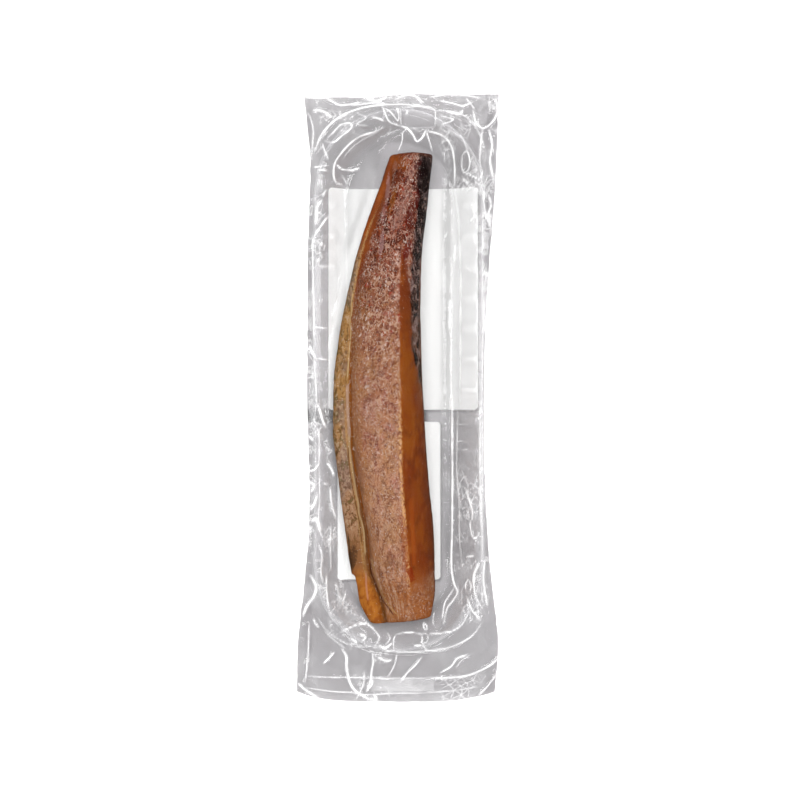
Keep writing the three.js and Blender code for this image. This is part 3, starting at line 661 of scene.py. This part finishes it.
class Graph:
    """The nodes of a material or of the world."""

    def __init__(self, owner):
        owner.use_nodes = True
        self.tree = owner.node_tree

    def node(self, kind, settings=None, sockets=None, result=0):
        made = self.tree.nodes.new("ShaderNode" + kind)
        for key, value in (settings or {}).items():
            setattr(made, key, value)
        for key, value in (sockets or {}).items():
            self.plug(made.inputs[key], value)
        return Wire(self, made.outputs[result])

    def plug(self, socket, value):
        if isinstance(value, Wire):
            self.tree.links.new(value.socket, socket)
        elif socket.type == "RGBA":
            socket.default_value = (*value, 1)
        else:
            socket.default_value = value


class Finish(Graph):
    """One material being made."""

    def __init__(self, name):
        self.material = bpy.data.materials.new(name)
        super().__init__(self.material)
        self.tree.nodes.clear()

    def value(self, name):
        return self.node("Attribute", {"attribute_name": name}, result="Fac")

    def places(self, *stretch):
        """Places in the piece, in mm, each axis divided by its stretch."""
        here = self.node("TexCoord", result="Object")
        scale = tuple(1 / (MM * s) for s in (stretch or (1, 1, 1)))
        return self.node("VectorMath", {"operation": "MULTIPLY"}, {0: here, 1: scale})

    def noise(self, where, size, detail=2, rough=0.5, distortion=0, result=0):
        return self.node("TexNoise", {}, {
            "Vector": where, "Scale": 1 / size, "Detail": detail, "Roughness": rough,
            "Distortion": distortion}, result)

    def net(self, where, size):
        """How far each place is from the lines of a net, in shares of its mesh size."""
        return self.node("TexVoronoi", {"feature": "DISTANCE_TO_EDGE"}, {
            "Vector": where, "Scale": 1 / size}, "Distance")

    def blend(self, share, a, b):
        """One colour laid over another."""
        return self.node("Mix", {"data_type": "RGBA"}, {0: share, 6: a, 7: b}, 2)

    def bump(self, height, depth):
        """A bumpy normal, from a height of 0 to 1 that stands for a depth in mm."""
        return self.node("Bump", {}, {"Height": height, "Distance": depth * MM})

    def solid(self, colour, **sockets):
        named = {key.replace("_", " "): value for key, value in sockets.items()}
        return self.node("BsdfPrincipled", {}, {"Base Color": colour, **named})

    def clear(self, roughness, normal, ior, dimming):
        """Glass-clear sheet that mirrors the room, more at a slant and less by its dimming."""
        mirror = self.node("BsdfGlossy", {}, {"Color": (1, 1, 1), "Roughness": roughness, "Normal": normal})
        mirrored = self.node("Fresnel", {}, {"IOR": ior, "Normal": normal})
        return self.mix(mirrored * dimming, self.node("BsdfTransparent"), mirror)

    def mix(self, share, first, second):
        return self.node("MixShader", {}, {0: share, 1: first, 2: second})

    def done(self, surface):
        output = self.tree.nodes.new("ShaderNodeOutputMaterial")
        self.plug(output.inputs["Surface"], surface)
        return self.material


def paint(red, green, blue, light=1.05):
    """The colour that looks like this in the photograph under the scene's light."""
    line = lambda c: c / 12.92 if c <= 0.04045 else ((c + 0.055) / 1.055) ** 2.4
    return tuple(min(0.95, line(c / 255) / light) for c in (red, green, blue))


def film_material():
    """Clear film: it mirrors a little everywhere, and has painted white highlights along its folds."""
    m = Finish("film")
    here = m.places()
    flesh = m.value("on_flesh")
    bare = 1 - flesh
    calm = m.value("calm")
    haze = 0.02 + 0.07 * m.noise(here, 16.0, 3).rise(0.45, 0.75)
    share = haze * bare * (1 - calm) + 0.85 * m.value("painted_highlight_and_frost")
    fine = m.noise(here, 3.2, 3, 0.6, 0.6)
    skin = m.noise(m.places(1, 1.3, 1), 2.3, 2, 0.6, 1.6)
    normal = m.bump(fine * bare * 0.5 + skin * flesh, 0.3)
    clear = m.clear(0.1, normal, 1.5, (1.3 - 1.22 * flesh) * (1 - 0.8 * calm))
    # A white coat over the clear film: its haze, its frosted print and the painted highlights.
    haze_and_highlight = m.solid(paint(255, 255, 255), Roughness=0.3, Normal=normal)
    return m.done(m.mix(share.at_most(1), clear, haze_and_highlight))


def beyond_label(across, along, box):
    """How far a place lies outside a label's rounded outline, in mm."""
    out = []
    for at, low, high in ((across, box["left"], box["right"]), (along, box["low"], box["high"])):
        past = abs(at - (low + high) / 2) - ((high - low) / 2 - LABEL_CORNER)
        out.append(past.at_least(0))
    return (out[0] * out[0] + out[1] * out[1]) ** 0.5 - LABEL_CORNER


def under_film_material():
    """The pouch's back: smoky over the floor, clear where a label is stuck to it."""
    m = Finish("film_back")
    here = m.places()
    across, along = (m.node("SeparateXYZ", {}, {0: here}, k) for k in (0, 1))
    bare, shade = 1, 0
    for box in LABELS.values():
        bare = beyond_label(across, along, box).rise(-0.3, 0.3) * bare
        # A label's shadow on the film lies a little to the right of it and below it.
        shade = shade + beyond_label(across - 0.5, along + 0.7, box).rise(-0.4, 1.3, 1, 0)
    shade = shade.at_most(1)
    cloudy = m.noise(here, 22.0, 3, 0.55)
    tone = m.blend(cloudy.rise(0.35, 0.65), paint(128, 125, 127), paint(134, 132, 134))
    tone = m.blend(0.5 * shade, tone, paint(70, 68, 70))
    # Between the labels the fillet shades the film beside it.
    beside = across.rise(16, 13) * along.rise(-13, -11.5) * along.rise(-4.5, -6)
    shade = shade.at_least(beside)
    # The film glows faintly, a painted lift of light, except where shadows are painted on it.
    smoky = m.solid(
        m.blend(0.8 * beside, tone, paint(50, 48, 50)), Roughness=0.28, Specular_IOR_Level=0.1,
        Normal=m.bump(m.noise(here, 5.0, 3), 0.2), Emission_Strength=1.0,
        Emission_Color=m.blend(shade, (0.06, 0.058, 0.06), (0, 0, 0)),
    )
    margin = (abs(across - TRAY["x"]) - RIM).rise(-0.5, 1.5)
    return m.done(m.mix((0.82 + 0.1 * margin) * bare + 0.04, m.node("BsdfTransparent"), smoky))


def tray_material():
    m = Finish("tray")
    normal = m.bump(m.noise(m.places(), 12.0, 2), 0.1)
    haze_and_rim_highlight = m.solid(paint(235, 234, 236), Roughness=0.2, Normal=normal)
    # The tray is faintly hazy, and whiter on its rolled rim: a painted highlight of the rim's lip.
    return m.done(m.mix(0.03 + 0.3 * m.value("edge"), m.clear(0.12, normal, 1.3, 0.6), haze_and_rim_highlight))


# ---- The fillet's finish ----

FILLET_LEVEL = 24  # about the height of the flesh that patches are placed on, in mm
# Patches on the flesh: colour, strength, pixel in the middle, half width and half length in pixels,
# and how far it leans to the right for each step up.
# The lilac-pink patches are a painted sheen, the wet flesh mirroring the light.
PATCHES = [
    ((168, 88, 38), 0.85, (402, 161), (9, 7), 0),
    ((178, 116, 92), 0.75, (395, 163), (2.2, 6), 0.1),
    ((176, 112, 84), 0.6, (403, 160), (2.4, 4), 0.1),
    ((124, 58, 34), 0.85, (397.5, 175), (4.2, 8), 0.25),
    ((190, 136, 126), 0.8, (387.3, 187), (1.9, 17), 0.08),
    ((182, 124, 116), 0.7, (383.2, 213), (2.2, 9), 0.1),
    ((184, 138, 134), 0.75, (381.5, 242), (2.2, 12), 0.1),
    ((160, 88, 32), 0.85, (392, 200), (2.6, 15), 0.25),
    ((182, 136, 124), 0.45, (411, 172), (3, 14), 0.3),
    ((176, 128, 114), 0.55, (402, 207), (6.5, 22), 0.3),
    ((92, 22, 12), 0.85, (417.5, 196), (2.4, 11), 0.1),
    ((112, 36, 18), 0.8, (409, 214), (3, 9), 0.1),
    ((96, 20, 16), 0.8, (406, 180), (1.6, 6), 0.3),
    ((80, 20, 18), 0.85, (418, 162), (3.4, 5), 0.5),
    ((60, 14, 12), 0.85, (420, 174), (2.8, 8), 0.2),
    ((100, 28, 14), 0.8, (411, 216), (4, 15), 0.1),
    ((118, 24, 8), 0.8, (407.5, 250), (3.4, 9), 0.2),
    ((22, 7, 6), 0.9, (425, 172), (5.5, 20), 0.12),
    ((146, 46, 14), 0.8, (411, 573), (3.6, 9), -0.2),
    ((164, 78, 24), 0.6, (405, 545), (3.5, 26), -0.1),
    # Dark along the belly strip's left edge over the notch: partly dark skin, partly painted shade under the
    # strip's edge.
    ((74, 48, 30), 0.75, (351, 563), (4, 15), 0.2),
]

# Lines on the flesh: colour, strength, half width in mm, then x and y of pixels from top to bottom.
FLESH_LINES = [
    # The first line is a painted highlight along the fillet's left edge.
    [(226, 192, 138), 0.8, 0.4, 352, 290, 350.5, 303, 351, 310, 349, 320, 350.2, 330, 349, 345, 348, 360,
     346.8, 378],
    [(206, 172, 152), 0.7, 1, 346.8, 384, 346.6, 400, 347.5, 418, 348.6, 434, 348.4, 442],
    [(214, 178, 130), 0.9, 0.55, 348.3, 436, 348.6, 447, 350, 461, 352.2, 474, 353.9, 485, 355.5, 496,
     357.4, 505, 358.3, 515, 361, 524, 363, 533, 363.8, 545, 364.6, 558],
    [(150, 78, 14), 0.85, 0.5, 349.3, 368, 350, 385, 350.5, 400, 350.5, 420, 351.5, 433, 351, 447, 353, 460,
     354.5, 470, 357.5, 482, 358.5, 490, 360, 498, 361.5, 507, 364.5, 520, 366.8, 533, 368, 545, 368.6, 560,
     369.4, 572],
    [(98, 56, 32), 0.7, 0.35, 347.3, 446, 348.2, 462, 350, 477, 352, 490, 354.5, 503, 357, 516, 359.5, 530,
     361, 546],
    [(84, 40, 12), 0.9, 0.5, 369.4, 566, 371, 577, 373.8, 584, 377.5, 594, 380.6, 600, 383.8, 605,
     388.8, 611, 394, 618],
    [(206, 160, 108), 0.7, 0.6, 371, 560, 373.5, 573, 377.5, 585, 382, 597, 387, 605, 393, 612, 399, 618],
    [(216, 152, 124), 0.6, 0.7, 365.3, 575, 365.8, 590, 367.5, 604],
    [(184, 86, 26), 0.5, 1.3, 411, 498, 412, 520, 413.2, 540, 414, 566],
    # Dark along the belly strip's left edge over the notch: partly dark skin, partly painted shade under the
    # strip's edge.
    [(64, 44, 24), 0.8, 0.6, 347.2, 538, 348.6, 554, 351, 571],
    [(70, 34, 12), 0.6, 0.5, 406, 349.5, 408.5, 346, 411, 346.5],
]


def meat(red, green, blue):
    """A paint for the fillet, which stands up into the light."""
    return paint(red, green, blue, 2.85)


class Coats:
    """A colour of the flesh, and more colours that are laid over it one by one."""

    def __init__(self, m, *first):
        self.m, self.colour = m, first[0] if len(first) == 1 else meat(*first)

    def lay(self, share, *over):
        self.colour = self.m.blend(share, self.colour, over[0] if len(over) == 1 else meat(*over))


def squiggles(m, stretch, size, width):
    """Thin winding strokes: 1 on a stroke, 0 off it."""
    wander = m.noise(m.places(1, stretch, 1), size, 1, 0.5, 0.9)
    return abs(wander - 0.5).rise(width, width * 0.2)


def crazed(m, stretch, size, width):
    """A net of thin winding lines, broken into short ones: 1 on a line, 0 off it."""
    where = m.places(1, stretch, 1.5)
    stray = m.noise(where, 1.6 * size, result="Color")
    stray = m.node("VectorMath", {"operation": "MULTIPLY"}, {0: stray, 1: (2.2 * size,) * 3})
    where = m.node("VectorMath", {"operation": "ADD"}, {0: where, 1: stray})
    return m.net(where, size).rise(width, 0.3 * width) * m.noise(where, 1.8 * size, 1).rise(0.42, 0.52)


def patch(m, ragged, pixel, half, lean):
    """A ragged patch of flesh: 1 inside, 0 outside."""
    x, y = place(pixel, FILLET_LEVEL)
    up = m.value("along") - y
    off = (m.value("across") - x - lean * up) / (half[0] * PIXEL)
    up = up / (half[1] * PIXEL)
    return (off * off + up * up + 2.2 * ragged).rise(1.25, 0.6)


def face_colour(m, ragged, coarse, upper):
    """The broad face: red-brown and wrinkled at the narrow end, pinkish tan at the wide one."""
    along = m.value("along")
    tan = Coats(m, m.blend(along.rise(-50, 10), meat(210, 150, 114), meat(178, 118, 86)))
    tan.lay(coarse.rise(0.5, 0.66) * 0.5, 184, 130, 120)
    tan.lay(coarse.rise(0.48, 0.34) * 0.4, 168, 106, 70)
    tint = m.noise(m.places(1, 1.5, 1.5), 8.0, 2, 0.6, 0.5)
    tan.lay(tint.rise(0.52, 0.64) * 0.6, 178, 112, 102)
    tan.lay(tint.rise(0.47, 0.36) * 0.5, 190, 136, 88)
    tan.lay((along + 12 * ragged).rise(-80, -98), 178, 108, 60)
    corner = (m.value("from_right") + 6 * ragged).rise(9, 3) * (along + 8 * ragged).rise(-92, -102)
    tan.lay(corner * 0.8, 186, 104, 44)
    red = Coats(m, m.blend(coarse.rise(0.4, 0.6), meat(122, 46, 24), meat(156, 76, 46)))
    # The pale lilac streaks are a painted sheen of the wet flesh; the dark red ones are its own colour.
    sheen_and_streaks = m.noise(m.places(0.8, 2.0, 1), 5.2, 3, 0.62, 0.9)
    red.lay(sheen_and_streaks.rise(0.54, 0.6) * 0.7, 164, 108, 94)
    red.lay(sheen_and_streaks.rise(0.46, 0.39) * 0.85, 100, 26, 12)
    face = Coats(m, m.blend(upper, tan.colour, red.colour))
    # Near the groove the face is smoother and more orange.
    calm = (m.value("from_groove") + 5 * ragged).rise(9, 3.5) * along.rise(90, 60)
    face.lay(calm * 0.6, m.blend(along.rise(20, 60), meat(184, 122, 72), meat(158, 86, 44)))
    busy = along.rise(-10, 60, 0.6, 0.8) * (1 - 0.6 * calm) * along.rise(-106, -86, 0.4, 1)
    dark = squiggles(m, 1.3, 3.7, 0.05 + 0.03 * upper)
    face.lay(dark * busy, m.blend(upper, meat(112, 60, 44), meat(52, 12, 10)))
    dark = crazed(m, 1.1, 2.4, 0.1) * busy
    face.lay(dark * 0.85, m.blend(upper, meat(118, 66, 52), meat(74, 20, 14)))
    pale = m.blend(upper, meat(224, 180, 152), meat(208, 158, 138))
    face.lay(crazed(m, 1.25, 2.7, 0.11) * busy * along.rise(-40, 60, 0.45, 1), pale)
    face.lay(squiggles(m, 1.2, 3.1, 0.032) * busy, pale)
    fleck = m.noise(m.places(1, 1.2, 1), 2.6, 1, 0.6, 1.0)
    face.lay(fleck.rise(0.66, 0.7) * along.rise(10, 40) * 0.8, 168, 52, 30)
    return face.colour


def belly_colour(m, coarse):
    """The belly strip: ochre, olive and lilac-grey, and orange past the notch."""
    along = m.value("along")
    mottle = m.noise(m.places(0.9, 1.5, 2), 3.6, 3, 0.7, 1.0)
    grain = m.noise(m.places(1, 1.4, 2), 1.9, 2, 0.7, 1.2)
    low = along.rise(0, -45)
    light = m.blend(low, meat(186, 138, 84), meat(190, 144, 110))
    dark = m.blend(low, meat(138, 98, 52), meat(122, 84, 50))
    strip = Coats(m, m.blend(mottle.rise(0.42, 0.54), dark, light))
    strip.lay(coarse.rise(0.46, 0.58) * 0.6, 156, 130, 118)
    strip.lay(mottle.rise(0.47, 0.4) * 0.5, 128, 114, 70)
    strip.lay(grain.rise(0.55, 0.64) * 0.65, 216, 184, 150)
    strip.lay(grain.rise(0.45, 0.36) * 0.6, 98, 60, 30)
    strip.lay(along.rise(-60, -78), 156, 106, 68)
    tail = m.blend(mottle.rise(0.36, 0.64), meat(168, 92, 32), meat(204, 126, 52))
    strip.lay(along.rise(-80, -92), tail)
    return strip.colour


def flank_colour(m, coarse):
    """The smooth orange flank."""
    along, right = m.value("along"), m.value("from_right")
    flank = Coats(m, m.blend(coarse.rise(0.38, 0.62), meat(162, 86, 26), meat(148, 70, 24)))
    flank.lay(along.rise(20, 60), 132, 60, 26)
    blot = m.noise(m.places(1, 2, 2), 7.0, 2, 0.6)
    flank.lay(blot.rise(0.52, 0.62) * along.rise(20, -30) * 0.5, 136, 58, 24)
    flank.lay(right.rise(6.0, 1.5) * along.rise(-20, -50) * 0.6, 124, 58, 28)
    # Darker along the lower right edge: partly dark skin, partly painted shade where the flank turns under.
    flank.lay(right.rise(1.3, 0.4) * along.rise(0, -20) * 0.7, 84, 38, 20)
    flank.lay(along.rise(-78, -104) * 0.7, 186, 112, 60)
    flank.lay(m.noise(m.places(1, 3, 3), 4.4, 3, 0.6).rise(0.55, 0.66) * 0.35, 190, 110, 50)
    flank.lay(m.noise(m.places(1, 1.6, 1.6), 4.2, 2, 0.7, 0.6).rise(0.53, 0.62) * 0.45, 112, 50, 22)
    return flank.colour


def hide_colour(m):
    """The dark skin: black at the narrow end, then grey-lilac with black streaks, then brown."""
    along = m.value("along")
    grey = m.blend(along.rise(60, 20), meat(84, 56, 48), meat(122, 84, 58))
    hide = Coats(m, m.blend(along.rise(92, 68), meat(20, 6, 5), grey))
    streak = m.noise(m.places(0.8, 2.6, 3.5), 3.4, 3, 0.7, 1.2)
    hide.lay(streak.rise(0.52, 0.48), 24, 8, 6)
    hide.lay(streak.rise(0.56, 0.59) * along.rise(116, 92, 0.3, 0.8), 160, 134, 130)
    gleam = m.noise(m.places(0.7, 1.1, 3), 2.2, 2, 0.6, 1.5)
    hide.lay(gleam.rise(0.6, 0.64) * 0.65, 196, 162, 150)
    return hide.colour


def flesh_material():
    """Smoked fish: pinkish face, orange flank, dark skin, mottled belly strip."""
    m = Finish("flesh")
    along = m.value("along")
    ridge, groove = m.value("from_ridge"), m.value("from_groove")
    left, right = m.value("from_left"), m.value("from_right")
    ragged = m.noise(m.places(), 5.0, 3, 0.6) - 0.5
    coarse = m.noise(m.places(1, 1.4, 1), 16.0, 3, 0.6)
    crinkle = m.noise(m.places(1, 1.15, 1), 2.3, 2, 0.7, 1.8)
    speck = m.noise(m.places(1, 1.5, 1), 1.9, 1, 0.6, 2.4)
    upper = (along + 40 * ragged).rise(24, 88)
    flesh = Coats(m, face_colour(m, ragged, coarse, upper))
    # The smooth orange facet along the left edge near the narrow end.
    facet = (left + 4 * ragged).rise(6.2, 4.2) * along.rise(40, 66)
    flesh.lay(facet * 0.95, m.blend(coarse.rise(0.4, 0.6), meat(178, 92, 36), meat(150, 74, 34)))
    side = (ridge + 1.2 * ragged).rise(-0.4, 0.5) * (along + 10 * ragged + 4 * ridge).rise(78, 70)
    side = side * (along + 14 * ragged - 0.5 * ridge).rise(-102, -88)
    flesh.lay(side, flank_colour(m, coarse))
    glint = abs(ridge + 0.3).rise(1.4, 0.2) * speck.rise(0.46, 0.54) * along.rise(20, -25)
    flesh.lay(glint * along.rise(-98, -80) * 0.8, 246, 186, 116)
    # The dark skin along the right edge, with a thin brown rim.
    reach = along.rise(118, 84, 7.0, 4.8) * along.rise(-8, 30)
    skin = (right + 4 * ragged - reach).rise(0.7, -0.7)
    flesh.lay(skin, hide_colour(m))
    flesh.lay(right.rise(0.8, 0.3) * along.rise(76, 66) * 0.8, 128, 72, 36)
    # The belly strip on the left, past the groove.
    strip = (groove + 1.2 * ragged).rise(0.3, -0.5) * along.rise(84, 62)
    flesh.lay(strip, belly_colour(m, coarse))
    fringe = abs(groove + 0.3).rise(0.9, 0.2) * along.rise(96, 84) * along.rise(-40, -12)
    flesh.lay(fringe * 0.8 * speck.rise(0.38, 0.52), 222, 168, 108)
    low = along.rise(20, -20)
    fold = abs(groove + 1.5).rise(1.3, 0.4) * low * along.rise(-96, -80)
    flesh.lay(fold * 0.75, m.blend(speck.rise(0.4, 0.6), meat(186, 130, 72), meat(214, 166, 112)))
    # Darker orange-brown beside the groove, on the face's side: painted shade in the groove.
    groove_shade = abs(groove - 0.6).rise(1.5, 0.3) * along.rise(60, 10)
    flesh.lay(groove_shade * 0.85, m.blend(low, meat(150, 88, 28), meat(120, 70, 20)))
    # Fibres that fan out from the groove near the wide end.
    bent = groove + 0.3 * along * groove.rise(0, 14)
    fibre = m.noise(m.node("CombineXYZ", {}, {0: bent, 1: along / 7}), 2.2, 2, 0.6, 0.4)
    fan = along.rise(-34, -62) * groove.rise(0.5, 2.5) * groove.rise(19, 11) * (1 - side)
    flesh.lay(fibre.rise(0.55, 0.61) * fan * 0.5, 218, 172, 138)
    flesh.lay(fibre.rise(0.45, 0.4) * fan * 0.5, 130, 78, 48)
    for k, (colour, strength, half, pixels) in enumerate(map(split_row, FLESH_LINES)):
        _, (start, stop) = place(pixels[[0, -1]], FILLET_LEVEL)
        run = along.rise(stop - 0.8, stop + 1.5) * along.rise(start + 0.8, start - 1.5)
        off = abs(m.value(f"line_{k}")) + 0.8 * half * ragged
        flesh.lay(off.rise(half, 0.35 * half) * run * strength, *colour)
    wrinkle = crinkle.rise(0.47, 0.42) - crinkle.rise(0.53, 0.58)
    for colour, strength, pixel, half, lean in PATCHES:
        flesh.lay(strength * patch(m, ragged + 0.25 * wrinkle, pixel, half, lean), *colour)
    # Specks: the light ones are painted highlights of the wet flesh, the dark ones its own colour.
    busy = (1 - side) * (1 - strip) * (1 - facet) * (1 - 0.8 * skin)
    many = along.rise(-10, 50, 0.5, 0.85)
    flesh.lay(speck.rise(0.63, 0.68) * busy * many, 240, 214, 200)
    flesh.lay(speck.rise(0.4, 0.35) * busy * many * 0.7, m.blend(upper, meat(96, 52, 40), meat(52, 14, 10)))
    flesh.lay(m.value("cut") * 0.8, m.blend(along.rise(-50, 50), meat(146, 88, 46), meat(112, 56, 32)))
    return m.done(m.solid(
        flesh.colour, Roughness=crinkle.rise(0.35, 0.65, 0.34, 0.55), Specular_IOR_Level=0.01,
        Normal=m.bump(crinkle * 0.6 + speck * 0.4, 0.36),
        Coat_Weight=0.5 * speck.rise(0.55, 0.62) * busy, Coat_Roughness=0.15,
    ))


def paper_material():
    m = Finish("label_paper")
    tone = m.noise(m.places(1, 7, 1), 5.0, 3).rise(0.35, 0.65)
    across, along = (m.node("SeparateXYZ", {}, {0: m.places()}, k) for k in (0, 1))
    across = across - TRAY["x"]
    wall = abs(across).rise(TRAY["radii"][1] - 1.5, TRAY["radii"][1] + 1)
    # The paper glows a little: painted light that lifts it where the lamps leave it dim, most on the
    # walls, more on the left and the small label, and less on the floor's right side.
    floor = across.rise(5, 12, 0.18, 0.085)
    left = across.rise(-20, -25) * along.rise(-4, -12)
    painted_light = floor + (0.41 - floor) * wall + 0.05 * left + along.rise(-10, -12, 0, 0.06)
    return m.done(m.solid(
        m.blend(tone, paint(203, 203, 202, 1.0), paint(209, 209, 208, 1.0)), Roughness=0.62,
        Specular_IOR_Level=0.1, Normal=m.bump(m.noise(m.places(), 0.5, 2), 0.02),
        Emission_Color=m.blend(painted_light, (0, 0, 0), (1, 1, 1)), Emission_Strength=1.0,
    ))


def floor_material():
    m = Finish("floor")
    tone = m.blend(m.noise(m.places(), 400.0), (0.9, 0.9, 0.9), (0.92, 0.92, 0.92))
    return m.done(m.solid(tone, Roughness=0.9, Emission_Color=(1, 1, 1), Emission_Strength=0.3))


# ---- Pieces ----

def make_fillet():
    rings, ys = fillet_rings()
    smooth_rings = rings.copy()
    relief = fillet_relief(rings)
    away = np.minimum(1, np.minimum(ys - LOW_CUT, HIGH_CUT - ys) / 3 + 0.2)[:, None]
    rings = rings + normals_of(rings) * (relief * away)[..., None]
    x, y = rings[..., 0], rings[..., 1]
    # The notch where the belly strip ends.
    x += 1.4 * smooth(x, -8, -18) * smooth(y, -87.0, -88.4) * smooth(y, -104, -92)
    f = fillet_at(y)
    vertices = np.vstack([rings.reshape(-1, 3), rings[0].mean(0), rings[-1].mean(0)])
    faces = tube_faces(FILLET_STATIONS, FILLET_POINTS)
    count = FILLET_STATIONS * FILLET_POINTS
    here = np.arange(FILLET_POINTS)
    after = np.roll(here, -1)
    last = count - FILLET_POINTS
    faces += np.column_stack([here, after, np.full_like(here, count)]).tolist()
    faces += np.column_stack([last + after, last + here, np.full_like(here, count + 1)]).tolist()
    pad = lambda v: np.r_[v.ravel(), v[0].mean(), v[-1].mean()]
    values = {
        "across": pad(x), "along": pad(y), "from_left": pad(x - f["left"]), "from_right": pad(f["right"] - x),
        "from_ridge": pad(x - f["ridge"]), "from_groove": pad(x - f["groove"]),
        "cut": np.r_[(1 - away * np.ones_like(x)).ravel(), 1, 1],
    }
    for k, (*_, pixels) in enumerate(map(split_row, FLESH_LINES)):
        line_x, line_y = place(pixels, FILLET_LEVEL)
        values[f"line_{k}"] = pad(x - through([line_y[::-1], line_x[::-1]], y))
    made = piece("smoked_fillet", vertices, faces, flesh_material(), values)
    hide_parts("fillet")
    return smooth_rings


def make_film(rings):
    x, y, z, values = film_surface(rings)
    top = np.stack([x, y, z], axis=-1)
    made = piece("upper_film", top.reshape(-1, 3), sheet_faces(*x.shape), film_material(), values)
    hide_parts("pouch")
    x, y = pouch_grid(*BACK_GRID)
    lift, _ = facets(x, y, 9, 1.3, 33)
    gap = np.interp(spine_distance(x, y), [38.5, RIM, 44], [1.3, 0.7, 0.55])
    z = np.maximum(tray_top(x, y, False) - gap + 0.18 * lift, 0.5)
    back, faces = np.stack([x, y, z], axis=-1), sheet_faces(*x.shape, turned=True)
    piece("lower_film", back.reshape(-1, 3), faces, under_film_material())


def make_tray():
    """A thin clear tray with a rolled rim, ribs and a round end at each side."""
    rays, thickness, mid_radius = 240, 0.5, 30
    radii = np.r_[np.linspace(1, 26, 12), np.linspace(26.5, 42.0, 34)]
    low, high = TRAY["low"], TRAY["high"]
    side, turn = high - low, np.pi * mid_radius
    corners = np.cumsum([0, side, turn, side, turn])
    at = np.linspace(0, corners[-1], rays, endpoint=False)
    angle = np.interp(at, corners, [0, 0, np.pi, np.pi, 2 * np.pi])
    x = TRAY["x"] + radii[:, None] * np.cos(angle)
    y = np.interp(at, corners, [low, high, high, low, low]) + radii[:, None] * np.sin(angle)
    top = np.stack([x, y, tray_top(x, y) - FILM_OVER_TRAY], axis=-1)
    skin = np.concatenate([top, top[::-1] - [0, 0, thickness]]).reshape(-1, 3)
    edge = np.repeat(smooth(np.r_[radii, radii[::-1]], 40.6, 42), rays)
    piece("clear_tray", skin, tube_faces(2 * len(radii), rays), tray_material(), {"edge": edge})


def finish_labels():
    paper = paper_material()
    for name in LABELS:
        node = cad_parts[name]
        for slot in node.material_slots:
            slot.material = paper
        if not node.material_slots:
            node.data.materials.append(paper)


def make_stage():
    """A pale floor that no gloss mirrors."""
    mesh = bpy.data.meshes.new("floor")
    half, below = 3.0, -0.0005
    corners = [(-half, -half, 0), (half, -half, 0), (half, half, 0), (-half, half, 0)]
    mesh.from_pydata(corners, [], [(0, 1, 2, 3)])
    mesh.materials.append(floor_material())
    floor = bpy.data.objects.new("floor", mesh)
    floor.location.z = below
    bpy.context.scene.collection.objects.link(floor)
    floor.visible_glossy = False


def softbox(name, place_m, size, watts):
    """A rectangular lamp that shines at the pack."""
    lamp = bpy.data.lights.new(name, "AREA")
    lamp.shape, lamp.size, lamp.size_y, lamp.energy = "RECTANGLE", size[0], size[1], watts
    made = bpy.data.objects.new(name, lamp)
    made.location = place_m
    made.rotation_euler = (-Vector(place_m)).to_track_quat("-Z", "Y").to_euler()
    bpy.context.scene.collection.objects.link(made)
    return made


def make_light():
    """Strips at the sides that the film mirrors, a wide soft lamp above, and a room dim overhead."""
    world = bpy.data.worlds.new("studio")
    bpy.context.scene.world = world
    room = Graph(world)
    heading = room.node("TexCoord", result="Generated")
    height = abs(room.node("SeparateXYZ", {}, {0: heading}, "Z"))
    level = room.node("MapRange", {}, {
        "Value": height, "From Min": 0, "From Max": 0.75, "To Min": 0.5, "To Max": 0.12})
    seen = room.node("LightPath", result="Is Camera Ray")
    shown = room.node("Mix", {}, {"Factor": seen, "A": level, "B": 0.9}, "Result")
    background = world.node_tree.nodes["Background"]
    room.plug(background.inputs["Color"], (1, 1, 1))
    room.plug(background.inputs["Strength"], shown)
    softbox("left_strip", (-0.75, 0.05, 0.75), (0.16, 1.3), 3.3)
    softbox("right_strip", (0.75, 0.1, 0.62), (0.16, 1.3), 3.3)
    softbox("far_strip", (0.1, 0.95, 0.7), (1.0, 0.16), 2.4)
    softbox("near_strip", (-0.1, -0.95, 0.62), (1.0, 0.16), 2.4)
    overhead = softbox("overhead", (0.05, 0.1, 1.4), (3.2, 3.2), 96)
    overhead.visible_glossy = False


def make_camera():
    camera = bpy.data.cameras.new("camera")
    camera.sensor_width = SENSOR
    camera.lens = SENSOR * (CAMERA_HEIGHT - RIM_LEVEL) / (PICTURE * PIXEL)
    camera.clip_start, camera.clip_end = 0.05, 10
    made = bpy.data.objects.new("camera", camera)
    x, y = (PICTURE / 2 - MID_PIXEL[0]) * PIXEL, (MID_PIXEL[1] - PICTURE / 2) * PIXEL
    made.location = x * MM, y * MM, CAMERA_HEIGHT * MM
    bpy.context.scene.collection.objects.link(made)
    bpy.context.scene.camera = made
    bpy.context.scene.view_settings.view_transform = "Standard"


make_camera()
make_light()
make_stage()
make_film(make_fillet())
make_tray()
finish_labels()
